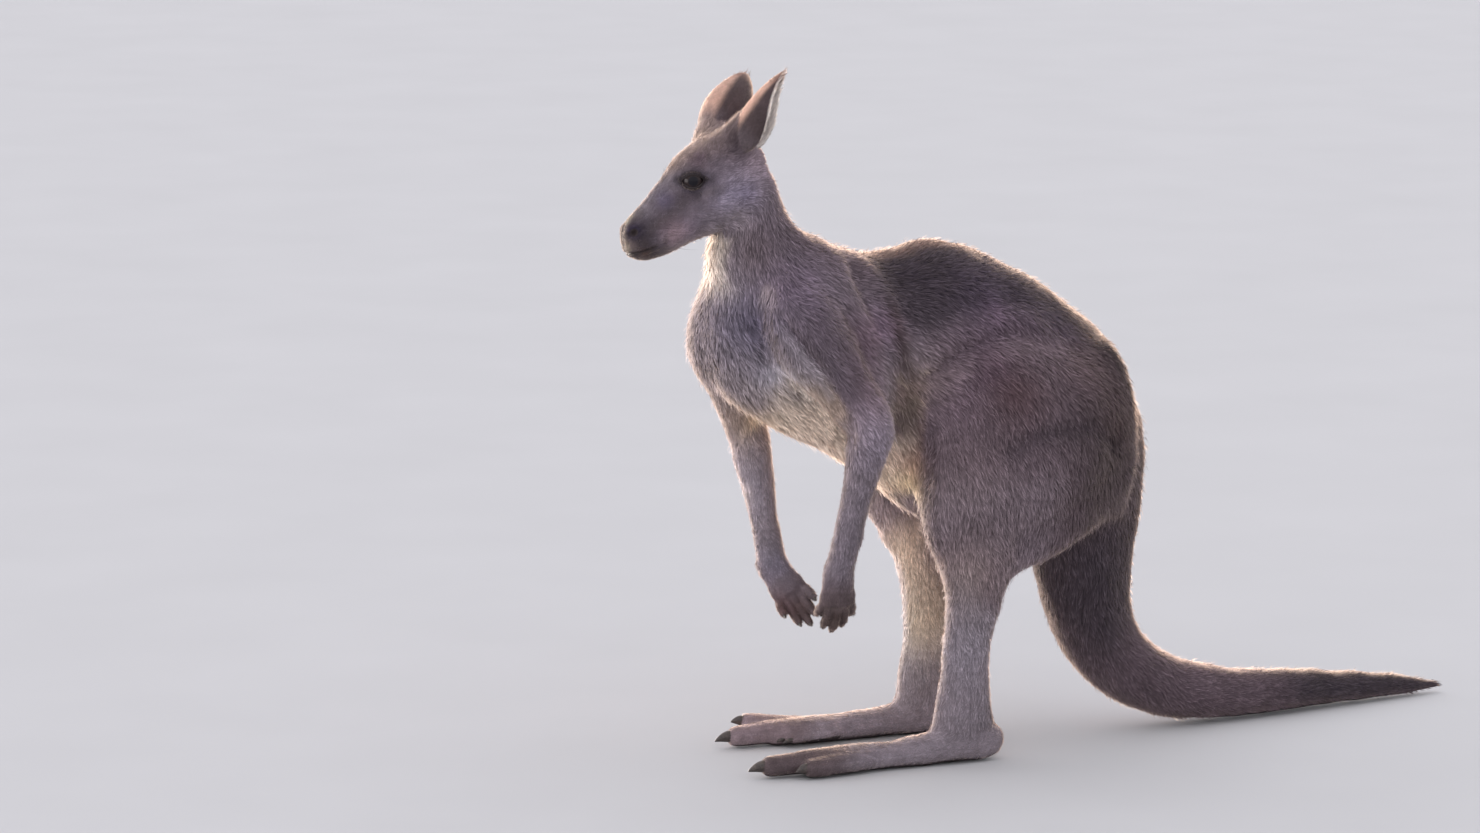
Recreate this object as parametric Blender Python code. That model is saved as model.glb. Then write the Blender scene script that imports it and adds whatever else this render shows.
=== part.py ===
"""Grey kangaroo, a still life-size model standing tall on its hind legs.

The animal faces -Y, its left side is +X, and the floor is Z = 0.  The body is lofted
whole from rings that stand on named joints, grown together into one closed surface,
and then parted into named pieces by thin cuts.  All sizes are in metres and reach to
the tips of the coat.
"""

import math

import bmesh
import bpy
import numpy as np
from mathutils import Vector

# ---------------------------------------------------------------- driving sizes
GAP = 0.0003                 # clearance between neighbouring pieces
VOXEL = 0.0038               # grid on which the lofted masses grow together
BODY_TRIANGLES = 2650        # triangles kept on the whole body before it is parted
RING_SIDES = 24              # points around each lofted ring
STEPS_BETWEEN = 4            # rings added between two named ones
SHEATH_VOXEL = 0.007         # grid of the sheath along which a limb is parted
SHEATH_GROWTH = 0.008        # how far that sheath stands off the limb
SHEATH_TRIANGLES = 150       # how coarse that sheath is

HEAD_YAW = math.radians(3.0)      # the head turns a little towards its left
HEAD_PITCH = math.radians(39.0)   # the muzzle points down by this much
SKULL = Vector((0.078, -0.2875, 0.869))    # origin of the head's own frame

EYE_RADIUS = 0.0135
EAR_HALF_WIDTH = 0.030
EAR_THICKNESS = 0.0048

CHEST_TWIST = math.radians(33.0)  # the chest turns this far towards its left
CHEST = Vector((0.075, -0.258, 0.655))     # midway between the shoulders
SHOULDER_SPREAD = 0.088      # from that middle out to each shoulder

FOOT_SPREAD = 0.095          # from the middle plane out to each foot
FOOT_HEIGHT = 0.040
FOOT_STAGGER = 0.018         # the left foot stands this far ahead of the right

LEFT = 1
RIGHT = -1
SIDE_NAME = {LEFT: "left", RIGHT: "right"}

COAT_GREY = (0.300, 0.245, 0.205)
COAT_PALE = (0.520, 0.450, 0.380)
COAT_DARK = (0.150, 0.110, 0.090)
EAR_BROWN = (0.260, 0.150, 0.110)
PAW_BROWN = (0.090, 0.065, 0.055)
EYE_BROWN = (0.020, 0.012, 0.008)
CLAW_HORN = (0.045, 0.038, 0.034)


# ---------------------------------------------------------------- small helpers
def clear_scene():
    """Empty the scene, keeping the file itself open."""
    for item in list(bpy.data.objects):
        bpy.data.objects.remove(item, do_unlink=True)


def make_material(name, colour, roughness):
    """Return a plain Principled material."""
    material = bpy.data.materials.new(name)
    material.use_nodes = True
    shader = material.node_tree.nodes["Principled BSDF"]
    shader.inputs["Base Color"].default_value = (*colour, 1.0)
    shader.inputs["Roughness"].default_value = roughness
    shader.inputs["Metallic"].default_value = 0.0
    return material


def make_object(name, points, faces):
    """Return a linked mesh object with its faces turned outward."""
    mesh = bpy.data.meshes.new(name)
    mesh.from_pydata([tuple(map(float, point)) for point in points], [], faces)
    item = bpy.data.objects.new(name, mesh)
    bpy.context.scene.collection.objects.link(item)
    surface = bmesh.new()
    surface.from_mesh(mesh)
    bmesh.ops.recalc_face_normals(surface, faces=surface.faces)
    surface.to_mesh(mesh)
    surface.free()
    return item


def bake(item):
    """Replace an object's mesh by what its modifiers make of it."""
    bpy.context.view_layer.update()
    graph = bpy.context.evaluated_depsgraph_get()
    mesh = bpy.data.meshes.new_from_object(item.evaluated_get(graph))
    item.modifiers.clear()
    item.data = mesh
    return item


def triangulate(item):
    """Split every face of an object into triangles."""
    surface = bmesh.new()
    surface.from_mesh(item.data)
    bmesh.ops.triangulate(surface, faces=surface.faces)
    surface.to_mesh(item.data)
    surface.free()
    return item


def boolean(item, cutter, operation):
    """Combine an object with a cutter and bake the result."""
    modifier = item.modifiers.new(operation, "BOOLEAN")
    modifier.operation = operation
    modifier.object = cutter
    modifier.solver = "EXACT"
    return bake(item)


def duplicate(item, name):
    """Return an unlinked-mesh copy of an object."""
    twin = item.copy()
    twin.data = item.data.copy()
    twin.name = name
    bpy.context.scene.collection.objects.link(twin)
    return twin


def remove(item):
    """Delete an object."""
    bpy.data.objects.remove(item, do_unlink=True)


def smooth_rows(rows, steps):
    """Pass a Catmull-Rom curve through rows of numbers, with steps between rows."""
    rows = np.asarray(rows, dtype=float)
    ends = np.vstack([2 * rows[0] - rows[1], rows, 2 * rows[-1] - rows[-2]])
    out = []
    for index in range(len(rows) - 1):
        before, start, stop, after = ends[index:index + 4]
        for t in np.arange(steps) / steps:
            bend = (2 * before - 5 * start + 4 * stop - after) * t ** 2
            twist = (3 * start - before - 3 * stop + after) * t ** 3
            out.append(0.5 * (2 * start + (stop - before) * t + bend + twist))
    out.append(rows[-1])
    return np.array(out)


def skin_rings(name, rings):
    """Close a stack of rings, each the same number of points, into one solid."""
    rings = np.asarray(rings)
    count, sides, _ = rings.shape
    points = list(rings.reshape(-1, 3))
    points.append(rings[0].mean(axis=0))
    points.append(rings[-1].mean(axis=0))
    faces = []
    for row in range(count - 1):
        for side in range(sides):
            after = (side + 1) % sides
            low = row * sides
            high = low + sides
            faces.append((low + side, low + after, high + after, high + side))
    last = (count - 1) * sides
    for side in range(sides):
        after = (side + 1) % sides
        faces.append((count * sides, after, side))
        faces.append((count * sides + 1, last + side, last + after))
    return make_object(name, points, faces)


def spanned_loft(name, spans):
    """Loft rings that each hang between a top and a bottom point.

    Each span is (top y, top z, bottom y, bottom z, middle x, half width, turn), where
    turn is the angle in degrees by which the ring's width swings towards the back.
    """
    rings = []
    for top_y, top_z, low_y, low_z, x, half, turn in smooth_rows(spans, STEPS_BETWEEN):
        top = np.array((x, top_y, top_z))
        low = np.array((x, low_y, low_z))
        middle = (top + low) / 2
        rise = (top - low) / 2
        swing = math.radians(turn)
        across = half * np.array((math.cos(swing), math.sin(swing), 0.0))
        around = np.linspace(0, 2 * math.pi, RING_SIDES, endpoint=False)
        rings.append(middle + np.outer(np.cos(around), across) + np.outer(np.sin(around), rise))
    return skin_rings(name, rings)


def limb_loft(name, stations, side_way, sides=RING_SIDES):
    """Loft elliptic rings along a path, square to it.

    Each station is (x, y, z, half width, half depth); side_way is roughly the
    direction in which the half width is measured.
    """
    rows = smooth_rows(stations, STEPS_BETWEEN)
    centres = rows[:, :3]
    along = np.gradient(centres, axis=0)
    along /= np.linalg.norm(along, axis=1)[:, None]
    across = np.asarray(side_way, dtype=float)[None, :] - along * (along @ np.asarray(side_way))[:, None]
    across /= np.linalg.norm(across, axis=1)[:, None]
    deep = np.cross(along, across)
    around = np.linspace(0, 2 * math.pi, sides, endpoint=False)
    rings = (
        centres[:, None, :]
        + rows[:, 3, None, None] * np.cos(around)[None, :, None] * across[:, None, :]
        + rows[:, 4, None, None] * np.sin(around)[None, :, None] * deep[:, None, :]
    )
    return skin_rings(name, rings)


def ellipsoid(name, centre, radii, axes=None, segments=24, rings=16):
    """Return an ellipsoid whose radii lie along three given unit axes."""
    mesh = bpy.data.meshes.new(name)
    surface = bmesh.new()
    bmesh.ops.create_uvsphere(surface, u_segments=segments, v_segments=rings, radius=1.0)
    frame = np.eye(3) if axes is None else np.array(axes, dtype=float)
    for vertex in surface.verts:
        local = np.array(vertex.co) * np.array(radii)
        vertex.co = Vector(local @ frame) + Vector(centre)
    bmesh.ops.recalc_face_normals(surface, faces=surface.faces)
    surface.to_mesh(mesh)
    surface.free()
    item = bpy.data.objects.new(name, mesh)
    bpy.context.scene.collection.objects.link(item)
    return item


# ---------------------------------------------------------------- frames on the body
def head_axes():
    """Return the head's forward, left and up directions."""
    forward = Vector((
        math.sin(HEAD_YAW) * math.cos(HEAD_PITCH),
        -math.cos(HEAD_YAW) * math.cos(HEAD_PITCH),
        -math.sin(HEAD_PITCH),
    ))
    left = Vector((math.cos(HEAD_YAW), math.sin(HEAD_YAW), 0.0))
    up = left.cross(forward)
    if up.z < 0:
        up.negate()
    return forward, left, up


def on_head(along, left_by, up_by):
    """Return the place that lies so far along, left of and above the skull's root."""
    forward, left, up = head_axes()
    return SKULL + forward * along + left * left_by + up * up_by


def chest_left():
    """Return the direction from the chest towards the animal's left shoulder."""
    return Vector((math.cos(CHEST_TWIST), math.sin(CHEST_TWIST), 0.0))


def arm_joints(side):
    """Return shoulder, elbow, wrist and knuckle places of one arm."""
    if side == LEFT:
        shoulder = CHEST + chest_left() * SHOULDER_SPREAD + Vector((0.0, 0.0, 0.005))
        elbow = Vector((0.170, -0.118, 0.520))
        wrist = Vector((0.120, -0.151, 0.300))
        knuckles = Vector((0.110, -0.149, 0.248))
    else:
        shoulder = CHEST - chest_left() * SHOULDER_SPREAD + Vector((0.005, 0.013, -0.005))
        elbow = Vector((-0.032, -0.236, 0.492))
        wrist = Vector((-0.006, -0.206, 0.292))
        knuckles = Vector((0.012, -0.181, 0.248))
    return shoulder, elbow, wrist, knuckles


def foot_y(side, y):
    """Shift a place along the foot by the stagger between the two feet."""
    return y - FOOT_STAGGER / 2 * side


# ---------------------------------------------------------------- masses of the body
def trunk():
    """Belly, back and chest, from the rump up to the root of the neck."""
    turn = math.degrees(CHEST_TWIST)
    return spanned_loft("trunk", (
        (0.338, 0.560, 0.215, 0.360, 0.000, 0.070, 0),
        (0.318, 0.608, 0.185, 0.338, 0.000, 0.098, 0),
        (0.270, 0.650, 0.130, 0.328, 0.000, 0.120, 0),
        (0.156, 0.726, 0.070, 0.335, 0.000, 0.134, 0),
        (0.040, 0.767, 0.000, 0.360, 0.008, 0.134, 2),
        (-0.070, 0.750, -0.075, 0.421, 0.028, 0.118, 8),
        (-0.130, 0.766, -0.172, 0.479, 0.050, 0.106, 18),
        (-0.180, 0.794, -0.270, 0.535, 0.068, 0.099, turn),
        (-0.204, 0.803, -0.312, 0.595, 0.075, 0.093, turn),
        (-0.214, 0.811, -0.325, 0.662, 0.078, 0.081, turn),
        (-0.220, 0.822, -0.323, 0.726, 0.078, 0.066, 20),
        (-0.227, 0.845, -0.321, 0.776, 0.078, 0.057, 8),
        (-0.239, 0.882, -0.318, 0.808, 0.078, 0.052, 3),
    ))


def head_mass():
    """Skull and muzzle, from the nape to the lips."""
    forward, left, up = head_axes()
    # along, top, bottom, half width
    sections = (
        (-0.056, 0.050, -0.010, 0.026),
        (-0.042, 0.076, -0.034, 0.042),
        (-0.020, 0.089, -0.042, 0.049),
        (0.010, 0.095, -0.042, 0.052),
        (0.040, 0.098, -0.039, 0.050),
        (0.062, 0.095, -0.033, 0.043),
        (0.084, 0.089, -0.025, 0.034),
        (0.105, 0.086, -0.015, 0.029),
        (0.128, 0.082, -0.008, 0.027),
        (0.148, 0.078, -0.001, 0.026),
        (0.162, 0.071, 0.006, 0.024),
        (0.174, 0.060, 0.016, 0.020),
        (0.181, 0.048, 0.028, 0.011),
    )
    rings = []
    for along, top, low, half in smooth_rows(sections, STEPS_BETWEEN):
        around = np.linspace(0, 2 * math.pi, RING_SIDES, endpoint=False)
        middle = np.array(SKULL + forward * along + up * (top + low) / 2)
        across = half * np.array(left)
        rise = (top - low) / 2 * np.array(up)
        rings.append(middle + np.outer(np.cos(around), across) + np.outer(np.sin(around), rise))
    return skin_rings("head_mass", rings)


def head_details():
    """Cheeks, brows and nose pad, grown onto the skull."""
    axes = head_axes()
    pieces = []
    for side in (LEFT, RIGHT):
        pieces.append(ellipsoid("cheek", on_head(0.012, 0.026 * side, 0.008), (0.046, 0.030, 0.040), axes))
        pieces.append(ellipsoid("brow", on_head(0.044, 0.0305 * side, 0.078), (0.022, 0.009, 0.008), axes))
        pieces.append(ellipsoid("lip", on_head(0.146, 0.011 * side, 0.032), (0.030, 0.016, 0.018), axes))
        pieces.append(ellipsoid("nostril_rim", on_head(0.160, 0.010 * side, 0.060), (0.014, 0.010, 0.012), axes))
    return pieces


def tail_mass():
    """The tail, down from the rump to the floor and back along it."""
    return limb_loft("tail_mass", (
        (0.000, 0.235, 0.560, 0.080, 0.085),
        (0.000, 0.276, 0.470, 0.084, 0.098),
        (0.000, 0.286, 0.380, 0.078, 0.094),
        (0.000, 0.284, 0.295, 0.069, 0.083),
        (-0.002, 0.295, 0.205, 0.059, 0.070),
        (-0.006, 0.337, 0.122, 0.051, 0.059),
        (-0.012, 0.415, 0.067, 0.045, 0.050),
        (-0.020, 0.510, 0.043, 0.041, 0.044),
        (-0.032, 0.605, 0.036, 0.036, 0.038),
        (-0.046, 0.700, 0.030, 0.031, 0.032),
        (-0.060, 0.800, 0.023, 0.025, 0.025),
        (-0.070, 0.880, 0.016, 0.017, 0.018),
        (-0.075, 0.930, 0.011, 0.009, 0.010),
    ), (1.0, 0.0, 0.0))


def leg_masses(side):
    """Thigh, shank and hamstring of one leg, down to the sole."""
    def at(x, y, z, half_width, half_depth, stagger=1.0):
        return (x * side, y - FOOT_STAGGER / 2 * side * stagger, z, half_width, half_depth)

    thigh = limb_loft("thigh_mass", (
        at(0.058, 0.300, 0.480, 0.050, 0.080, 0),
        at(0.078, 0.235, 0.484, 0.074, 0.126, 0),
        at(0.090, 0.150, 0.472, 0.083, 0.150, 0),
        at(0.103, 0.070, 0.450, 0.077, 0.130, 0),
        at(0.116, 0.012, 0.436, 0.061, 0.090, 0),
        at(0.122, -0.026, 0.432, 0.036, 0.048, 0),
    ), (1.0, 0.0, 0.0))
    shank = limb_loft("shank_mass", (
        at(0.126, 0.030, 0.460, 0.050, 0.062, 0.0),
        at(0.124, 0.048, 0.380, 0.051, 0.074, 0.1),
        at(0.116, 0.070, 0.310, 0.046, 0.064, 0.3),
        at(0.107, 0.072, 0.248, 0.038, 0.047, 0.6),
        at(0.100, 0.069, 0.200, 0.032, 0.040, 0.8),
        at(0.096, 0.067, 0.150, 0.030, 0.039, 1.0),
        at(0.095, 0.065, 0.105, 0.030, 0.044, 1.0),
        at(0.095, 0.063, 0.058, 0.030, 0.049, 1.0),
        at(0.095, 0.061, 0.025, 0.026, 0.043, 1.0),
    ), (1.0, 0.0, 0.0))
    hamstring = limb_loft("hamstring_mass", (
        at(0.050, 0.285, 0.460, 0.050, 0.070, 0),
        at(0.072, 0.245, 0.400, 0.056, 0.066, 0),
        at(0.094, 0.180, 0.350, 0.050, 0.056, 0),
        at(0.108, 0.115, 0.310, 0.036, 0.040, 0.2),
        at(0.110, 0.085, 0.270, 0.028, 0.030, 0.4),
    ), (1.0, 0.0, 0.0))
    return [thigh, shank, hamstring]


def toe_paths(side):
    """Paths of the four toes of one foot: name, from, to, radius, claw length."""
    x = FOOT_SPREAD
    reach, lift = (0.186, 0.0) if side == LEFT else (0.213, 0.016)
    toes = (
        ("fourth", (x + 0.002, -0.165, 0.019), (x + 0.002, -0.230, 0.0155), 0.0165, 0.034),
        ("fifth", (x + 0.022, -0.120, 0.018), (x + 0.029, -reach, 0.014 + lift), 0.0130, 0.024),
        ("third", (x - 0.020, -0.110, 0.019), (x - 0.019, -0.166, 0.0125), 0.0080, 0.013),
        ("second", (x - 0.029, -0.108, 0.017), (x - 0.029, -0.160, 0.0120), 0.0075, 0.013),
    )
    placed = []
    for name, start, stop, radius, claw in toes:
        ends = [Vector((point[0] * side, foot_y(side, point[1]), point[2])) for point in (start, stop)]
        placed.append((name, ends[0], ends[1], radius, claw))
    return placed


def foot_masses(side):
    """Long narrow foot with its toes."""
    x = FOOT_SPREAD * side
    half = FOOT_HEIGHT / 2
    stations = (
        (0.130, 0.024, 0.012, 0.015),
        (0.114, 0.028, 0.022, 0.028),
        (0.075, 0.029, 0.028, 0.032),
        (0.020, half + 0.004, 0.028, half + 0.006),
        (-0.050, half - 0.001, 0.028, half + 0.001),
        (-0.110, half - 0.001, 0.030, half + 0.001),
        (-0.150, half - 0.002, 0.028, half),
        (-0.185, half - 0.003, 0.019, half - 0.001),
    )
    foot = limb_loft("foot_mass", [(x, foot_y(side, y), z, w, d) for y, z, w, d in stations], (1.0, 0.0, 0.0))
    pieces = [foot]
    for name, start, stop, radius, _ in toe_paths(side):
        back = start + (start - stop) * 0.5
        tip = stop + (stop - start).normalized() * radius * 0.7
        path = [
            (*back, radius * 0.9, radius),
            (*start, radius * 1.05, radius * 1.1),
            (*((start + stop) / 2), radius, radius),
            (*stop, radius * 0.92, radius * 0.95),
            (*tip, radius * 0.4, radius * 0.5),
        ]
        pieces.append(limb_loft("toe_" + name, path, (1.0, 0.0, 0.0), 12))
    return pieces


def arm_masses(side):
    """Shoulder, upper arm and forearm of one arm."""
    shoulder, elbow, wrist, knuckles = arm_joints(side)
    across = chest_left()
    inward = -side * across
    upper = limb_loft("upper_arm_mass", (
        (*(shoulder + Vector((0, 0, 0.080)) + inward * 0.040), 0.032, 0.044),
        (*(shoulder + Vector((0, 0, 0.038)) + inward * 0.016), 0.045, 0.062),
        (*(shoulder.lerp(elbow, 0.12)), 0.050, 0.067),
        (*(shoulder.lerp(elbow, 0.45)), 0.042, 0.055),
        (*(shoulder.lerp(elbow, 0.75)), 0.035, 0.043),
        (*elbow, 0.031, 0.036),
        (*(elbow + (elbow - shoulder).normalized() * 0.018), 0.018, 0.022),
    ), across)
    fore = limb_loft("forearm_mass", (
        (*(elbow + (elbow - wrist).normalized() * 0.020), 0.018, 0.022),
        (*elbow, 0.030, 0.036),
        (*elbow.lerp(wrist, 0.22), 0.029, 0.035),
        (*elbow.lerp(wrist, 0.52), 0.023, 0.026),
        (*elbow.lerp(wrist, 0.82), 0.0185, 0.0225),
        (*wrist, 0.0185, 0.0220),
    ), across)
    return [upper, fore]


def hand_masses(side):
    """Palm and fingers of one hand, without the claws."""
    pieces = [palm_mass(side)]
    for name, joints, radius, _ in finger_paths(side):
        path = [(*point, radius * scale, radius * scale)
                for point, scale in zip(joints, (0.9, 1.05, 1.0, 0.9, 0.55))]
        pieces.append(limb_loft("finger_" + name, path, chest_left(), 10))
    return pieces


def hand_axes(side):
    """Return one hand's directions: down its length, across the palm and out of its back."""
    _, _, wrist, knuckles = arm_joints(side)
    down = (knuckles - wrist).normalized()
    spread = Vector((0.10, 0.995, 0.0)) if side == LEFT else Vector((0.35, 0.94, 0.0))
    spread = (spread - down * spread.dot(down)).normalized()
    back = down.cross(spread).normalized()
    return down, spread, back


def palm_mass(side):
    """Flat palm between wrist and knuckles."""
    _, _, wrist, knuckles = arm_joints(side)
    down, spread, back = hand_axes(side)
    return limb_loft("palm_mass", (
        (*(wrist - down * 0.020), 0.018, 0.014),
        (*wrist, 0.023, 0.0170),
        (*wrist.lerp(knuckles, 0.45), 0.0265, 0.0165),
        (*wrist.lerp(knuckles, 0.85), 0.027, 0.0145),
        (*(knuckles + down * 0.006), 0.020, 0.0100),
    ), spread)


def finger_paths(side):
    """Paths of the five fingers of one hand: name, joints, radius, claw length."""
    _, _, wrist, knuckles = arm_joints(side)
    down, spread, back = hand_axes(side)
    curl = back * (-side)
    fingers = (
        ("first", -0.0225, -0.020, 0.032, -0.30, 0.0072),
        ("second", -0.0145, -0.004, 0.043, -0.12, 0.0080),
        ("third", 0.000, 0.000, 0.047, 0.00, 0.0082),
        ("fourth", 0.0145, -0.004, 0.043, 0.12, 0.0080),
        ("fifth", 0.0225, -0.016, 0.034, 0.26, 0.0072),
    )
    placed = []
    for name, aside, back_by, length, splay, radius in fingers:
        root = knuckles + spread * aside + down * (back_by - 0.006)
        way = (down + spread * splay).normalized()
        joints = []
        for share in (-0.25, 0.0, 0.40, 0.78, 1.0):
            bend = curl * (0.20 * length * max(share, 0.0) ** 2)
            joints.append(root + way * (length * share) + bend)
        placed.append((name, joints, radius, 0.015))
    return placed


# ---------------------------------------------------------------- growing it together
def join_all(pieces):
    """Put the meshes of several objects into the first one."""
    for piece in pieces[1:]:
        pieces[0].data = joined_mesh(pieces[0], piece)
        remove(piece)
    return pieces[0]


def grow_together(pieces):
    """Merge overlapping masses into one closed, softened surface."""
    body = join_all(pieces)
    body.name = "body"
    remesh = body.modifiers.new("grow", "REMESH")
    remesh.mode = "VOXEL"
    remesh.voxel_size = VOXEL
    bake(body)
    group = body.vertex_groups.new(name="soft")
    for vertex in body.data.vertices:
        group.add([vertex.index], softness(vertex.co), "REPLACE")
    soften = body.modifiers.new("soften", "SMOOTH")
    soften.factor = 0.5
    soften.iterations = 26
    soften.vertex_group = "soft"
    return bake(body)


def softness(point):
    """Return how far the surface is smoothed at a place, 0 to 1."""
    point = Vector(point)
    firm_places = [(on_head(0.12, 0.0, 0.04), 0.060, 0.130, 0.10)]
    for side in (LEFT, RIGHT):
        wrist, knuckles = arm_joints(side)[2:]
        firm_places.append((wrist.lerp(knuckles, 1.2), 0.070, 0.150, 0.10))
        firm_places.append((Vector((FOOT_SPREAD * side, -0.14, 0.02)), 0.140, 0.230, 0.12))
    weight = 1.0
    for centre, firm, soft, least in firm_places:
        share = ((point - centre).length - firm) / (soft - firm)
        weight = min(weight, least + (1.0 - least) * min(max(share, 0.0), 1.0))
    return weight


def joined_mesh(first, second):
    """Return one mesh that holds two objects' meshes."""
    surface = bmesh.new()
    surface.from_mesh(first.data)
    surface.from_mesh(second.data)
    mesh = bpy.data.meshes.new("joined")
    surface.to_mesh(mesh)
    surface.free()
    return mesh


def detail_weight(point):
    """Return how freely the surface may be thinned at a point, 0 to 1."""
    point = Vector(point)
    fine_places = [(on_head(0.07, 0.0, 0.04), 0.150, 0.80)]
    for side in (LEFT, RIGHT):
        knuckles = arm_joints(side)[3]
        fine_places.append((knuckles, 0.080, 0.85))
        fine_places.append((Vector((FOOT_SPREAD * side, -0.17, 0.02)), 0.105, 0.85))
    weight = 1.0
    for centre, reach, least in fine_places:
        if (point - centre).length < reach:
            weight = min(weight, least)
    return weight


def thin_out(body):
    """Reduce the surface to its share of triangles, keeping more on head, hands and toes."""
    group = body.vertex_groups.new(name="thin")
    for vertex in body.data.vertices:
        group.add([vertex.index], detail_weight(vertex.co), "REPLACE")
    triangles = sum(len(face.vertices) - 2 for face in body.data.polygons)
    thin = body.modifiers.new("thin", "DECIMATE")
    thin.decimate_type = "COLLAPSE"
    thin.ratio = BODY_TRIANGLES / triangles
    thin.use_collapse_triangulate = True
    thin.vertex_group = "thin"
    thin.vertex_group_factor = 1.0
    return bake(body)


def level_soles(body):
    """Cut what dips below the floor, which leaves small flats at Z = 0."""
    surface = bmesh.new()
    surface.from_mesh(body.data)
    cut_half(surface, Vector((0.0, 0.0, 0.0)), Vector((0.0, 0.0, 1.0)))
    surface.to_mesh(body.data)
    surface.free()
    return body


def cut_half(surface, point, normal):
    """Keep the part of a closed surface that lies on the normal's side of a plane."""
    result = bmesh.ops.bisect_plane(
        surface,
        geom=surface.verts[:] + surface.edges[:] + surface.faces[:],
        dist=1e-7,
        plane_co=point,
        plane_no=normal,
        clear_inner=True,
    )
    rim = [element for element in result["geom_cut"] if isinstance(element, bmesh.types.BMEdge)]
    filled = bmesh.ops.holes_fill(surface, edges=rim, sides=0)
    bmesh.ops.triangulate(surface, faces=filled["faces"])


def part_by_plane(item, point, normal, far_name):
    """Split an object at a plane; return the near piece and the one beyond the plane."""
    point = Vector(point)
    normal = Vector(normal).normalized()
    halves = []
    for name, way in ((item.name, -normal), (far_name, normal)):
        half = duplicate(item, "half")
        surface = bmesh.new()
        surface.from_mesh(half.data)
        cut_half(surface, point + way * GAP / 2, way)
        surface.to_mesh(half.data)
        surface.free()
        halves.append((name, half))
    remove(item)
    for name, half in halves:
        whole, = largest(islands(half), 1)
        whole.name = name
        yield whole


def islands(item):
    """Split an object into one object for each connected body."""
    bpy.ops.object.select_all(action="DESELECT")
    item.select_set(True)
    bpy.context.view_layer.objects.active = item
    bpy.ops.object.mode_set(mode="EDIT")
    bpy.ops.mesh.select_all(action="SELECT")
    bpy.ops.mesh.separate(type="LOOSE")
    bpy.ops.object.mode_set(mode="OBJECT")
    return list(bpy.context.selected_objects)


def limb_sheath(masses, end_point, end_way):
    """Return a coarse closed sheath around a limb's masses, cut flat at its far end."""
    sheath = join_all(masses)
    sheath.name = "sheath"
    first = sheath.modifiers.new("join", "REMESH")
    first.mode = "VOXEL"
    first.voxel_size = SHEATH_VOXEL
    grow = sheath.modifiers.new("grow", "DISPLACE")
    grow.mid_level = 0.0
    grow.strength = SHEATH_GROWTH
    again = sheath.modifiers.new("again", "REMESH")
    again.mode = "VOXEL"
    again.voxel_size = SHEATH_VOXEL
    bake(sheath)
    thin = sheath.modifiers.new("thin", "DECIMATE")
    thin.ratio = SHEATH_TRIANGLES / (2 * len(sheath.data.polygons))
    bake(sheath)
    surface = bmesh.new()
    surface.from_mesh(sheath.data)
    cut_half(surface, end_point, -end_way)
    surface.to_mesh(sheath.data)
    surface.free()
    return sheath


def sever_limb(item, masses, end_point, end_way, limb_name, tip_name):
    """Part a limb from the body along its own sheath, which also frees its far end.

    Returns the body that stays, the limb and the freed end.
    """
    core = limb_sheath(masses, end_point, end_way)
    hull = swollen(core, GAP)
    limb = duplicate(item, limb_name)
    boolean(limb, core, "INTERSECT")
    boolean(item, hull, "DIFFERENCE")
    remove(core)
    remove(hull)
    limb, = largest(islands(limb), 1)
    limb.name = limb_name
    rest, tip = largest(islands(item), 2)
    tip.name = tip_name
    return rest, limb, tip


def largest(pieces, count):
    """Keep the pieces with the most vertices, largest first, and delete the others."""
    pieces = sorted(pieces, key=lambda piece: -len(piece.data.vertices))
    for piece in pieces[count:]:
        remove(piece)
    return pieces[:count]


# ---------------------------------------------------------------- ears, eyes, claws
def ear(side):
    """One ear: a pointed leaf rolled into a funnel at its root."""
    forward, left, up = head_axes()
    if side == LEFT:
        root = on_head(-0.034, 0.030, 0.062)
        tip = Vector((0.142, -0.233, 1.038))
        opening = Vector((0.52, 0.85, 0.0))
        set_back = 0.48
    else:
        root = on_head(-0.028, -0.030, 0.068)
        tip = Vector((-0.012, -0.245, 1.018))
        opening = Vector((-0.97, 0.10, 0.0))
        set_back = 0.90
    axis = (tip - root).normalized()
    opening = (opening - axis * opening.dot(axis)).normalized()
    across = axis.cross(opening).normalized()
    # share of the length, half width, half angle of the roll in degrees
    rows = smooth_rows((
        (-0.10, 0.50, 152),
        (0.08, 0.62, 142),
        (0.26, 0.84, 124),
        (0.45, 1.00, 106),
        (0.64, 0.96, 88),
        (0.82, 0.68, 72),
        (0.94, 0.34, 60),
        (1.00, 0.10, 55),
    ), 2)
    length = (tip - root).length
    rings = []
    for share, width, roll in rows:
        half_angle = math.radians(roll)
        half_width = max(width, 0.05) * EAR_HALF_WIDTH
        radius = half_width / max(math.sin(min(half_angle, math.pi / 2)), 0.2)
        thickness = EAR_THICKNESS * (1.0 - 0.35 * max(share, 0.0))
        inner = max(radius - thickness, radius * 0.35)
        centre = root + axis * (length * share) + opening * (radius - half_width * set_back)
        angles = np.linspace(-half_angle, half_angle, 7)
        ring = []
        for angle in angles:
            ring.append(centre + (across * math.sin(angle) - opening * math.cos(angle)) * radius)
        for angle in angles[::-1]:
            ring.append(centre + (across * math.sin(angle) - opening * math.cos(angle)) * inner)
        rings.append([tuple(point) for point in ring])
    return skin_rings("ear_" + SIDE_NAME[side], rings)


def claw(name, base, way, droop, length, radius, flat=1.0):
    """A curved horn claw, from inside the digit out to its point."""
    way = way.normalized()
    droop = (droop - way * droop.dot(way)).normalized()
    rows = []
    for share, scale in ((-0.40, 0.85), (0.10, 1.0), (0.60, 0.62), (1.0, 0.12)):
        bend = droop * (0.22 * length * max(share, 0.0) ** 2)
        place = base + way * (length * share) + bend
        rows.append((*place, radius * scale * flat, radius * scale))
    return limb_loft_coarse(name, rows, way.cross(droop))


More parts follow.
